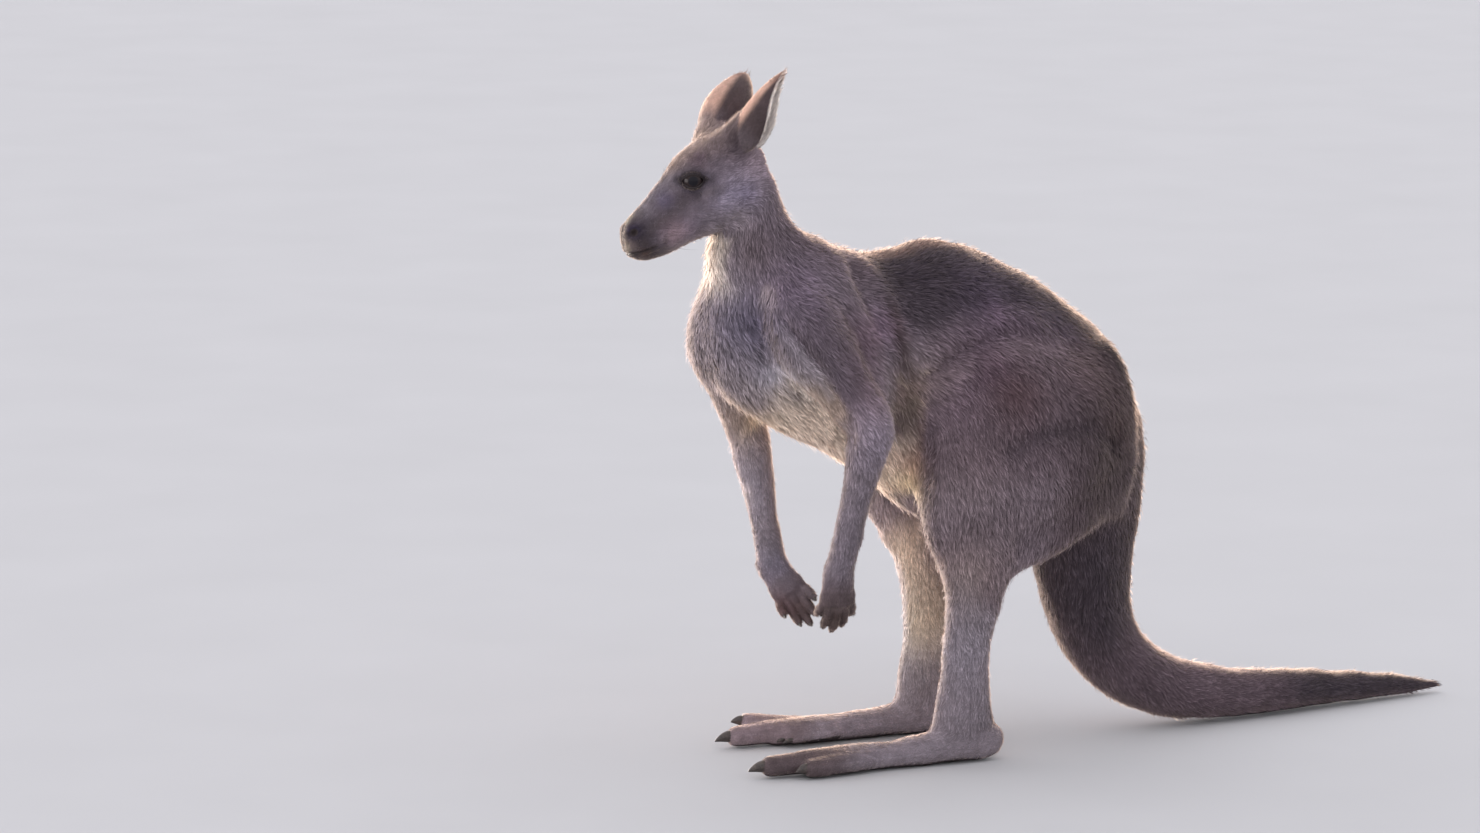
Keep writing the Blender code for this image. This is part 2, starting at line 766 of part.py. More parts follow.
def limb_loft_coarse(name, rows, side_way):
    """Loft six-sided rings straight from the named stations."""
    rows = np.asarray(rows, dtype=float)
    centres = rows[:, :3]
    along = np.gradient(centres, axis=0)
    along /= np.linalg.norm(along, axis=1)[:, None]
    side_way = np.asarray(side_way, dtype=float)
    across = side_way[None, :] - along * (along @ side_way)[:, None]
    across /= np.linalg.norm(across, axis=1)[:, None]
    deep = np.cross(along, across)
    around = np.linspace(0, 2 * math.pi, 6, endpoint=False)
    rings = (
        centres[:, None, :]
        + rows[:, 3, None, None] * np.cos(around)[None, :, None] * across[:, None, :]
        + rows[:, 4, None, None] * np.sin(around)[None, :, None] * deep[:, None, :]
    )
    return skin_rings(name, rings)


def swollen(item, by):
    """Return a copy of an object grown outward along its normals."""
    twin = duplicate(item, "swollen")
    grow = twin.modifiers.new("grow", "DISPLACE")
    grow.mid_level = 0.0
    grow.strength = by
    return bake(twin)


def seat(inlay, *hosts):
    """Cut room for an inlaid piece, with a hair's clearance, out of its hosts."""
    room = swollen(inlay, GAP)
    for host in hosts:
        boolean(host, room, "DIFFERENCE")
    remove(room)


# ---------------------------------------------------------------- the whole animal
def model():
    """Build every named piece of the kangaroo."""
    clear_scene()
    masses = [trunk(), head_mass(), tail_mass()]
    masses += head_details()
    for side in (LEFT, RIGHT):
        masses += leg_masses(side) + foot_masses(side)
        masses += arm_masses(side) + hand_masses(side)
    body = level_soles(thin_out(grow_together(masses)))
    pieces = part_body(body)
    pieces += add_ears(pieces)
    pieces += add_eyes(pieces)
    pieces += add_claws(pieces)
    finish(pieces)


def part_body(body):
    """Part the whole body into its named pieces."""
    pieces = []
    for side in (LEFT, RIGHT):
        word = SIDE_NAME[side]
        shoulder, elbow, wrist, knuckles = arm_joints(side)
        hand_way = (knuckles - wrist).normalized()
        body, upper, hand = sever_limb(
            body, arm_masses(side), wrist - hand_way * 0.002, hand_way, "upper_arm_" + word, "hand_" + word)
        bend = (elbow - shoulder).normalized() + (wrist - elbow).normalized()
        upper, fore = part_by_plane(upper, elbow, bend, "forearm_" + word)
        pieces += [upper, fore, hand]
        ankle = Vector((FOOT_SPREAD * side, foot_y(side, 0.062), 0.078))
        body, thigh, foot = sever_limb(
            body, leg_masses(side), ankle, Vector((0.0, -0.30, -0.95)), "thigh_" + word, "foot_" + word)
        thigh, shank = part_by_plane(
            thigh, (0.12 * side, 0.020, 0.285), (0.0, -0.22, -0.97), "shank_" + word)
        pieces += [thigh, shank, foot]
    pieces += part_tail(body)
    return pieces


def part_tail(body):
    """Part tail, rump, abdomen, chest, neck and head from one another."""
    body.name = "abdomen"
    body, rump = part_by_plane(body, (0.0, 0.110, 0.5), (0.0, 0.94, -0.34), "rump")
    rump, tail = part_by_plane(rump, (0.0, 0.285, 0.395), (0.0, 0.12, -1.0), "tail_root")
    tail, middle = part_by_plane(tail, (0.0, 0.330, 0.120), (0.0, 0.75, -0.66), "tail_bend")
    middle, low = part_by_plane(middle, (0.0, 0.500, 0.040), (-0.10, 1.0, 0.0), "tail_middle")
    low, end = part_by_plane(low, (0.0, 0.710, 0.030), (-0.13, 1.0, 0.0), "tail_tip")
    body, chest = part_by_plane(body, (0.035, -0.105, 0.6), (0.28, -0.92, 0.27), "chest")
    chest, neck = part_by_plane(chest, (0.078, -0.285, 0.765), (0.05, -0.30, 0.95), "neck")
    forward, _, up = head_axes()
    neck, head = part_by_plane(neck, on_head(0.020, 0.0, -0.022), up * 0.92 + forward * 0.39, "head")
    head, muzzle = part_by_plane(head, on_head(0.088, 0.0, 0.0), forward, "muzzle")
    return [body, rump, tail, middle, low, end, chest, neck, head, muzzle]


def named(pieces, name):
    """Return the piece that has a name."""
    return next(piece for piece in pieces if piece.name == name)


def add_ears(pieces):
    """Set both ears on the head."""
    head = named(pieces, "head")
    ears = []
    for side in (LEFT, RIGHT):
        item = ear(side)
        bump = swollen(head, GAP)
        boolean(item, bump, "DIFFERENCE")
        remove(bump)
        item, = largest(islands(item), 1)
        item.name = "ear_" + SIDE_NAME[side]
        ears.append(item)
    return ears


def add_eyes(pieces):
    """Set both eyes in the head."""
    head = named(pieces, "head")
    eyes = []
    for side in (LEFT, RIGHT):
        centre = on_head(0.0505, 0.0300 * side, 0.0625)
        eye = ellipsoid("eye_" + SIDE_NAME[side], centre, (EYE_RADIUS,) * 3, head_axes(), 12, 8)
        seat(eye, head)
        eyes.append(eye)
    return eyes


def add_claws(pieces):
    """Set a claw at the end of every finger and toe."""
    claws = []
    for side in (LEFT, RIGHT):
        word = SIDE_NAME[side]
        hand = named(pieces, "hand_" + word)
        foot = named(pieces, "foot_" + word)
        _, _, back = hand_axes(side)
        for name, joints, radius, length in finger_paths(side):
            way = (joints[-1] - joints[-2]).normalized()
            nail = claw(f"claw_finger_{name}_{word}", joints[-1] - way * 0.001, way, back * (-side),
                        length, radius * 0.42)
            seat(nail, hand)
            claws.append(nail)
        for name, start, stop, radius, length in toe_paths(side):
            way = (stop - start).normalized()
            base = stop + way * (radius * 0.45) + Vector((0, 0, radius * 0.12))
            nail = claw(f"claw_toe_{name}_{word}", base, way, Vector((0, 0, -1)),
                        length, radius * 0.50, 0.85)
            seat(nail, foot)
            claws.append(nail)
    return claws


def finish(pieces):
    """Centre the animal over the origin and give each piece its material."""
    low = np.full(3, np.inf)
    high = np.full(3, -np.inf)
    for piece in pieces:
        points = np.empty(len(piece.data.vertices) * 3)
        piece.data.vertices.foreach_get("co", points)
        points = points.reshape(-1, 3)
        low = np.minimum(low, points.min(axis=0))
        high = np.maximum(high, points.max(axis=0))
    shift = np.array(((low[0] + high[0]) / 2, (low[1] + high[1]) / 2, low[2]))
    looks = {
        "coat_grey": make_material("coat_grey", COAT_GREY, 0.9),
        "coat_pale": make_material("coat_pale", COAT_PALE, 0.9),
        "coat_dark": make_material("coat_dark", COAT_DARK, 0.9),
        "ear_brown": make_material("ear_brown", EAR_BROWN, 0.9),
        "paw_brown": make_material("paw_brown", PAW_BROWN, 0.85),
        "eye": make_material("eye", EYE_BROWN, 0.05),
        "claw": make_material("claw", CLAW_HORN, 0.45),
    }
    for piece in pieces:
        triangulate(piece)
        points = np.empty(len(piece.data.vertices) * 3)
        piece.data.vertices.foreach_get("co", points)
        points = points.reshape(-1, 3) - shift
        piece.data.vertices.foreach_set("co", points.ravel())
        piece.data.update()
        piece.data.materials.clear()
        piece.data.materials.append(looks[look_of(piece.name)])
    print("shift", shift, "size", high - low)


def look_of(name):
    """Return the name of the material that a piece wears."""
    if name.startswith("claw"):
        return "claw"
    if name.startswith("eye"):
        return "eye"
    if name.startswith("ear"):
        return "ear_brown"
    if name.startswith(("hand", "foot")):
        return "paw_brown"
    if name.startswith(("abdomen", "rump", "tail")):
        return "coat_dark"
    if name.startswith(("chest", "shank")):
        return "coat_pale"
    return "coat_grey"


if __name__ == "__main__":
    model()
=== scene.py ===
import logging
import math
from dataclasses import dataclass, field
from enum import Enum

import bpy
import numpy as np
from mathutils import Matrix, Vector
from mathutils.bvhtree import BVHTree


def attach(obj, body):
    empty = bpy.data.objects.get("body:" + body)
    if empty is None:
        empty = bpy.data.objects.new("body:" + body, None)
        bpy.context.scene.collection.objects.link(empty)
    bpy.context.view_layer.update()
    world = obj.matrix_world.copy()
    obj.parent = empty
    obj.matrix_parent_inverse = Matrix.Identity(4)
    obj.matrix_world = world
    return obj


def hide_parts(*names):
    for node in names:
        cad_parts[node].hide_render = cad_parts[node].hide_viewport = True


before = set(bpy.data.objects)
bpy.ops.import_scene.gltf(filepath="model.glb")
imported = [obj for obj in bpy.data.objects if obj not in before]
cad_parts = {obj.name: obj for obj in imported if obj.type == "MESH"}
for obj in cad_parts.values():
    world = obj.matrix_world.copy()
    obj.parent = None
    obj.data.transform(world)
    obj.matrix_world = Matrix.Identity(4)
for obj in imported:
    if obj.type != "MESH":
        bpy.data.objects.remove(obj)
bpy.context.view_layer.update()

LOG = logging.getLogger("kangaroo")
Array = np.ndarray
Numbers = tuple[float, ...]
Rows = tuple[Numbers, ...]

# Lengths are metres: +Z is up, the floor is at 0, the animal faces -Y and its left side is +X.
LAYOUT_ORIGIN = np.array((0.0142109, 0.2330910, 0.0))   # the frame's origin in the layout below
SEED = 20
HEAD_LEVEL = 0.70        # what shapes or colours the head stays above this height
FLOOR_GAP = 0.0006       # least height of the skin over the floor
UP = np.array((0.0, 0.0, 1.0))
ASIDE = np.array((1.0, 0.0, 0.0))
TUFT_POINTS = 5          # two at the root, two halfway up, one at the tip
SKETCH_HALF = 0.0015     # half the patch of each tuft on its baking map
LID_ZONE = 0.034         # how far from its centre an eye's lids reach
ROOT_DEPTH = 0.0004      # how far each tuft's root is sunk
TIP_GAP = 0.0003         # least height of a tuft over the floor


class Side(Enum):
    """The two sides of the animal, valued by the sign of X."""

    LEFT = 1
    RIGHT = -1

    @property
    def word(self) -> str:
        """The side's name in lower case."""
        return self.name.lower()


class Patch(Enum):
    """Parts of the coat, each of which is one piece."""

    FACE_LEFT = 0
    FACE_RIGHT = 1
    NECK = 2
    CHEST = 3
    BELLY = 4
    BACK = 5
    RUMP = 6
    TAIL = 7
    ARM_LEFT = 8
    ARM_RIGHT = 9
    THIGH_LEFT = 10
    THIGH_RIGHT = 11
    LEG_LEFT = 12
    LEG_RIGHT = 13

    @staticmethod
    def of(part: str, side: Side) -> "Patch":
        """Return the patch of one side's face, arm, thigh or leg."""
        return Patch[f"{part}_{side.name}"]

    @property
    def slot(self) -> str:
        """The patch's colour slot."""
        part = self.name.split("_")[0]
        if part in ("FACE", "NECK", "ARM"):
            return "coat_grey"
        return "coat_pale" if part in ("CHEST", "LEG") else "coat_dark"


# ------------------------------------------------------------------ small tools
def placed(point: Numbers | Array) -> Array:
    """Bring a place of the layout into the frame."""
    return np.asarray(point, dtype=float) - LAYOUT_ORIGIN


def laid(rows: Rows, sign: int = 1) -> Array:
    """Bring layout rows into the frame.

    Args:
        rows: of numbers, each of which starts with x, y and z.
        sign: -1 to mirror them to the animal's right side.
    """
    rows = np.array(rows)
    rows[:, 0] *= sign
    rows[:, :3] -= LAYOUT_ORIGIN
    return rows


def mirrored(points: Array) -> Array:
    """Lay the animal's right side onto its left."""
    folded = points.copy()
    folded[:, 0] = np.abs(points[:, 0] + LAYOUT_ORIGIN[0]) - LAYOUT_ORIGIN[0]
    return folded


def unit(vectors: Array) -> Array:
    """Scale vectors to a length of one."""
    vectors = np.asarray(vectors, dtype=float)
    return vectors / np.maximum(np.linalg.norm(vectors, axis=-1, keepdims=True), 1e-12)


def ease(low: float, high: float, values: Array) -> Array:
    """Rise smoothly from 0 at low to 1 at high: t squared times (3 - 2 t)."""
    t = np.clip((values - low) / (high - low), 0.0, 1.0)
    return t * t * (3.0 - 2.0 * t)


def blend(first: Array | Numbers, second: Array | Numbers, share: Array) -> Array:
    """Mix two arrays of vectors by a share between 0 and 1 for each row; either may be one vector."""
    share = np.asarray(share)[..., None]
    return first * (1.0 - share) + second * share


def smooth_rows(rows: Rows | Array, steps: int) -> Array:
    """Pass a Catmull-Rom curve through rows of numbers.

    Args:
        rows: the rows that the curve meets.
        steps: points from one row to the next.

    Returns:
        All rows of the curve, ends included.
    """
    rows = np.asarray(rows, dtype=float)
    ends = np.vstack([2 * rows[0] - rows[1], rows, 2 * rows[-1] - rows[-2]])
    before, start, stop, after = (ends[i:len(ends) - 3 + i, None] for i in range(4))
    t = (np.arange(steps) / steps)[None, :, None]
    bend = (2 * before - 5 * start + 4 * stop - after) * t ** 2
    twist = (3 * start - before - 3 * stop + after) * t ** 3
    curve = 0.5 * (2 * start + (stop - before) * t + bend + twist)
    return np.vstack([curve.reshape(-1, rows.shape[1]), rows[-1:]])


def gap_to(points: Array, centre: Array | Numbers) -> Array:
    """Return the distance from points to a place."""
    return np.linalg.norm(points - centre, axis=1)


def nearest_on_line(points: Array, start: Array, stop: Array) -> tuple[Array, Array]:
    """Measure points against a straight line between two places.

    Args:
        points: to measure.
        start: of the line.
        stop: of the line.

    Returns:
        The distance to the line and the share of its length at the nearest place.
    """
    way = stop - start
    share = np.clip((points - start) @ way / (way @ way), 0.0, 1.0)
    return np.linalg.norm(points - start - share[:, None] * way, axis=1), share


def nearest_on_path(points: Array, path: Array) -> Array:
    """Return the distance from points to a path of straight pieces."""
    best = np.full(len(points), np.inf)
    for start, stop in zip(path[:-1], path[1:]):
        best = np.minimum(best, nearest_on_line(points, start, stop)[0])
    return best


def bell(values: Array, wide: float) -> Array:
    """Fall from 1 at 0: the exponential of minus the square of value over width."""
    return np.exp(-(values / wide) ** 2)


def hump(points: Array, centre: Numbers, sizes: Numbers | float) -> Array:
    """Fall from 1 at a place, as a bell along every axis.

    Args:
        points: where it is read.
        centre: the place.
        sizes: the width of the bell along each axis, or one for all.
    """
    return np.exp(-(((points - centre) / sizes) ** 2).sum(axis=1))


def ripple(points: Array, size: float, seed: int, waves: int = 7) -> Array:
    """Sum sine waves of random directions into a smooth field of about -1 to 1.

    Args:
        points: where the field is read.
        size: the length of its waves.
        seed: picks the directions.
        waves: how many waves are added.
    """
    rng = np.random.default_rng(seed)
    ways = unit(rng.normal(size=(waves, 3))) * (2 * math.pi / size)
    ways *= rng.uniform(0.6, 1.6, (waves, 1))
    return np.sin(points @ ways.T + rng.uniform(0, 2 * math.pi, waves)).sum(axis=1) / math.sqrt(waves)


@dataclass
class Shell:
    """Points and the triangles between them."""

    points: Array
    faces: Array

    def turned_out(self) -> "Shell":
        """Turn the faces of a closed shell outwards, by the sign of its volume."""
        a, b, c = (self.points[self.faces[:, i]] for i in range(3))
        if np.einsum("ij,ij->i", a, np.cross(b, c)).sum() < 0:
            self.faces = self.faces[:, ::-1]
        return self

    def normals(self) -> Array:
        """Return each point's normal, weighted by the area of the faces around it."""
        a, b, c = (self.points[self.faces[:, i]] for i in range(3))
        flat = np.cross(b - a, c - a)
        total = np.zeros_like(self.points)
        for corner in range(3):
            for axis in range(3):
                total[:, axis] += np.bincount(self.faces[:, corner], flat[:, axis], len(total))
        return unit(total)

    def areas(self) -> Array:
        """Return the area of each face."""
        a, b, c = (self.points[self.faces[:, i]] for i in range(3))
        return np.linalg.norm(np.cross(b - a, c - a), axis=1) / 2

    def relaxed(self, turns: int, weight: Array | float = 1.0) -> "Shell":
        """Move every point halfway to the middle of its neighbours, some number of turns.

        Args:
            turns: how often the points move.
            weight: for each point, how far of that way it goes.
        """
        edges = np.vstack([self.faces[:, [0, 1]], self.faces[:, [1, 2]], self.faces[:, [2, 0]]])
        edges = np.unique(np.sort(edges, axis=1), axis=0)
        ends = np.concatenate([edges[:, 0], edges[:, 1]])
        others = np.concatenate([edges[:, 1], edges[:, 0]])
        count = np.maximum(np.bincount(ends, minlength=len(self.points)), 1)
        weight = np.broadcast_to(weight, len(self.points))
        for _ in range(turns):
            middle = np.stack([np.bincount(ends, self.points[others, axis], len(self.points))
                               for axis in range(3)], axis=1) / count[:, None]
            self.points = self.points + (middle - self.points) * 0.5 * weight[:, None]
        return self


def stitched(shells: list[Shell]) -> Shell:
    """Put several shells into one."""
    starts = np.cumsum([0] + [len(shell.points) for shell in shells[:-1]])
    return Shell(np.vstack([shell.points for shell in shells]),
                 np.vstack([shell.faces + start for shell, start in zip(shells, starts)]))


def sheet_faces(rows: int, columns: int, wrapped: bool) -> Array:
    """Return the triangles of a grid of points.

    Args:
        rows: how many rows the grid has.
        columns: how many points each row has.
        wrapped: whether the last column joins the first.
    """
    row = np.arange(rows - 1)[:, None] * columns
    column = np.arange(columns if wrapped else columns - 1)[None, :]
    a, b = row + column, row + (column + 1) % columns
    squares = np.stack([a, b, b + columns, a + columns], axis=-1).reshape(-1, 4)
    return np.vstack([squares[:, [0, 1, 2]], squares[:, [0, 2, 3]]])


def closed_rings(rings: Array) -> Shell:
    """Close a stack of rings, an array of ring, point and axis, with a fan at each end."""
    rows, columns, _ = rings.shape
    points = np.vstack([rings.reshape(-1, 3), rings[0].mean(axis=0), rings[-1].mean(axis=0)])
    here, after = np.arange(columns), (np.arange(columns) + 1) % columns
    first, last = rows * columns, (rows - 1) * columns
    low = np.stack([np.full(columns, first), after, here], axis=1)
    high = np.stack([np.full(columns, first + 1), last + here, last + after], axis=1)
    return Shell(points, np.vstack([sheet_faces(rows, columns, True), low, high])).turned_out()


def tube(stations: Rows | Array, side_way: Array, sides: int = 28, steps: int = 5) -> Shell:
    """Carry an ellipse along a path, square to it.

    Args:
        stations: rows of x, y, z, half width and half depth in the frame.
        side_way: roughly the direction in which the half width is measured.
        sides: points around each ellipse.
        steps: ellipses from one station to the next.
    """
    rows = smooth_rows(stations, steps)
    centres = rows[:, :3]
    along = unit(np.gradient(centres, axis=0))
    side_way = np.asarray(side_way, dtype=float)
    across = unit(side_way - along * (along @ side_way)[:, None])
    deep = np.cross(along, across)
    angle = np.linspace(0, 2 * math.pi, sides, endpoint=False)
    rings = (centres[:, None] + (rows[:, 3:4] * np.cos(angle))[..., None] * across[:, None]
             + (rows[:, 4:5] * np.sin(angle))[..., None] * deep[:, None])
    return closed_rings(rings)


def ball(centre: Array, radii: Numbers, axes: Array, rows: int = 18, sides: int = 28) -> Shell:
    """Make an ellipsoid: the sine and cosine of height and angle, stretched along three axes.

    Args:
        centre: its middle.
        radii: its half sizes.
        axes: three unit vectors, one per row, along which they lie.
        rows: rings from pole to pole.
        sides: points around each ring.
    """
    height = np.linspace(0.04, math.pi - 0.04, rows)[:, None]
    angle = np.linspace(0, 2 * math.pi, sides, endpoint=False)[None, :]
    flat = np.stack([np.sin(height) * np.cos(angle), np.sin(height) * np.sin(angle),
                     np.cos(height) + 0 * angle], axis=-1) * np.asarray(radii)
    return closed_rings(centre + flat @ axes)


def make_object(name: str, shell: Shell, smooth: bool = True) -> bpy.types.Object:
    """Put a shell into the scene as a mesh object at the origin.

    Args:
        name: of the object.
        shell: its points and triangles.
        smooth: whether it is shaded smooth.

    Returns:
        The object.
    """
    mesh = bpy.data.meshes.new(name)
    mesh.vertices.add(len(shell.points))
    mesh.vertices.foreach_set("co", shell.points.astype(np.float32).ravel())
    mesh.loops.add(shell.faces.size)
    mesh.loops.foreach_set("vertex_index", shell.faces.astype(np.int32).ravel())
    mesh.polygons.add(len(shell.faces))
    mesh.polygons.foreach_set("loop_start", np.arange(0, shell.faces.size, 3, dtype=np.int32))
    mesh.update(calc_edges=True)
    mesh.polygons.foreach_set("use_smooth", np.full(len(shell.faces), smooth))
    item = bpy.data.objects.new(name, mesh)
    bpy.context.scene.collection.objects.link(item)
    return item


def read_shell(item: bpy.types.Object) -> Shell:
    """Read an object's finished mesh back as points and triangles."""
    finished = item.evaluated_get(bpy.context.evaluated_depsgraph_get())
    mesh = finished.to_mesh()
    mesh.calc_loop_triangles()
    points = np.empty(len(mesh.vertices) * 3, dtype=np.float32)
    mesh.vertices.foreach_get("co", points)
    faces = np.empty(len(mesh.loop_triangles) * 3, dtype=np.int32)
    mesh.loop_triangles.foreach_get("vertices", faces)
    finished.to_mesh_clear()
    return Shell(points.reshape(-1, 3).astype(float), faces.reshape(-1, 3))


def paint(item: bpy.types.Object, name: str, colours: Array) -> None:
    """Store a colour on every point of a mesh, as a named attribute.

    Args:
        item: the object.
        name: of the attribute.
        colours: a row for each point.
    """
    layer = item.data.attributes.new(name, "FLOAT_COLOR", "POINT")
    full = np.ones((len(colours), 4), dtype=np.float32)
    full[:, :colours.shape[1]] = colours
    layer.data.foreach_set("color", full.ravel())


# ------------------------------------------------------------------ frames on the body
@dataclass(frozen=True)
class HeadFrame:
    """The head's own axes: along the muzzle, to its left and up."""

    yaw: float = math.radians(3.0)
    pitch: float = math.radians(39.0)
    root: Numbers = (0.078, -0.2875, 0.869)

    def axes(self) -> Array:
        """Return forward, left and up as three rows."""
        forward = np.array((math.sin(self.yaw) * math.cos(self.pitch),
                            -math.cos(self.yaw) * math.cos(self.pitch), -math.sin(self.pitch)))
        left = np.array((math.cos(self.yaw), math.sin(self.yaw), 0.0))
        up = np.cross(left, forward)
        return np.array((forward, left, up if up[2] > 0 else -up))

    def place(self, along: float, left: float, up: float) -> Array:
        """Return the frame's place for distances along, left of and above the head's root."""
        return placed(self.root) + np.array((along, left, up)) @ self.axes()

    def local(self, points: Array) -> Array:
        """Return points as distances along, left of and above the head's root."""
        return (points - placed(self.root)) @ self.axes().T

    def folded(self, points: Array) -> Array:
        """Return the same with the right side laid onto the left."""
        local = self.local(points)
        local[:, 1] = np.abs(local[:, 1])
        return local


HEAD = HeadFrame()


@dataclass(frozen=True)
class Arm:
    """The joints of one arm, and the directions of its hand."""

    side: Side
    finger_sizes: Numbers = (0.95, 1.15, 0.92, 0.90, 0.62)     # at each joint, against its radius

    def chest_left(self) -> Array:
        """Return the way from the chest to the left shoulder, as the chest is turned."""
        turn = math.radians(33.0)
        return np.array((math.cos(turn), math.sin(turn), 0.0))

    def joints(self) -> Array:
        """Return shoulder, elbow, wrist and knuckles."""
        chest = np.array((0.075, -0.258, 0.655))
        reach = self.chest_left() * 0.088
        if self.side is Side.LEFT:
            layout = (chest + reach + (0.0, 0.0, 0.005), (0.170, -0.118, 0.520),
                      (0.120, -0.151, 0.300), (0.110, -0.149, 0.248))
        else:
            layout = (chest - reach + (0.005, 0.013, -0.005), (-0.032, -0.236, 0.492),
                      (-0.006, -0.206, 0.292), (0.012, -0.181, 0.248))
        return placed(np.array(layout))

    def hand_axes(self) -> Array:
        """Return down the hand, across the palm and out of its back."""
        _, _, wrist, knuckles = self.joints()
        down = unit(knuckles - wrist)
        spread = np.array((0.10, 0.995, 0.0)) if self.side is Side.LEFT else np.array((0.35, 0.94, 0.0))
        spread = unit(spread - down * (spread @ down))
        return np.array((down, spread, unit(np.cross(down, spread))))

    def fingers(self) -> list[tuple[Array, float]]:
        """Return the joints and the radius of each of the five fingers."""
        knuckles = self.joints()[3]
        down, spread, back = self.hand_axes()
        layout = ((-0.0205, -0.016, 0.036, -0.12, 0.0068), (-0.0108, -0.004, 0.046, -0.05, 0.0074),
                  (0.000, 0.000, 0.050, 0.00, 0.0077), (0.0108, -0.004, 0.046, 0.06, 0.0074),
                  (0.0205, -0.014, 0.037, 0.13, 0.0068))
        made = []
        for aside, back_by, length, splay, radius in layout:
            root = knuckles + spread * aside + down * (back_by - 0.006)
            way = unit(down + spread * splay)
            share = np.array((-0.25, 0.0, 0.40, 0.78, 1.0))[:, None]
            bend = back * (-self.side.value) * 0.52 * length * np.maximum(share, 0.0) ** 2
            made.append((root + way * length * share + bend, radius))
        return made

    def masses(self) -> list[Shell]:
        """Return shoulder, forearm, palm and fingers as closed shells."""
        shoulder, elbow, wrist, knuckles = self.joints()
        across = self.chest_left()
        inward = -self.side.value * across
        down, spread, _ = self.hand_axes()

        def between(first: Array, second: Array, share: float) -> Array:
            """Return the place a share of the way between two places."""
            return first + (second - first) * share

        upper = ((*(shoulder + UP * 0.080 + inward * 0.040), 0.032, 0.044),
                 (*(shoulder + UP * 0.038 + inward * 0.016), 0.045, 0.062),
                 (*between(shoulder, elbow, 0.12), 0.050, 0.064),
                 (*between(shoulder, elbow, 0.45), 0.042, 0.050),
                 (*between(shoulder, elbow, 0.75), 0.035, 0.043),
                 (*elbow, 0.031, 0.036),
                 (*(elbow + unit(elbow - shoulder) * 0.018), 0.018, 0.022))
        fore = ((*(elbow + unit(elbow - wrist) * 0.020), 0.018, 0.022),
                (*elbow, 0.030, 0.036),
                (*between(elbow, wrist, 0.22), 0.029, 0.035),
                (*between(elbow, wrist, 0.52), 0.023, 0.026),
                (*between(elbow, wrist, 0.82), 0.0215, 0.0250),
                (*wrist, 0.0215, 0.0235))
        palm = ((*(wrist - down * 0.020), 0.022, 0.017),
                (*wrist, 0.0250, 0.0190),
                (*between(wrist, knuckles, 0.45), 0.0245, 0.0165),
                (*between(wrist, knuckles, 0.85), 0.0255, 0.0140),
                (*(knuckles + down * 0.006), 0.019, 0.0090))
        shells = [tube(upper, across), tube(fore, across), tube(palm, spread)]
        for joints, radius in self.fingers():
            sizes = radius * np.array(self.finger_sizes)[:, None]
            shells.append(tube(np.hstack([joints, sizes, sizes]), across, 14))
        return shells


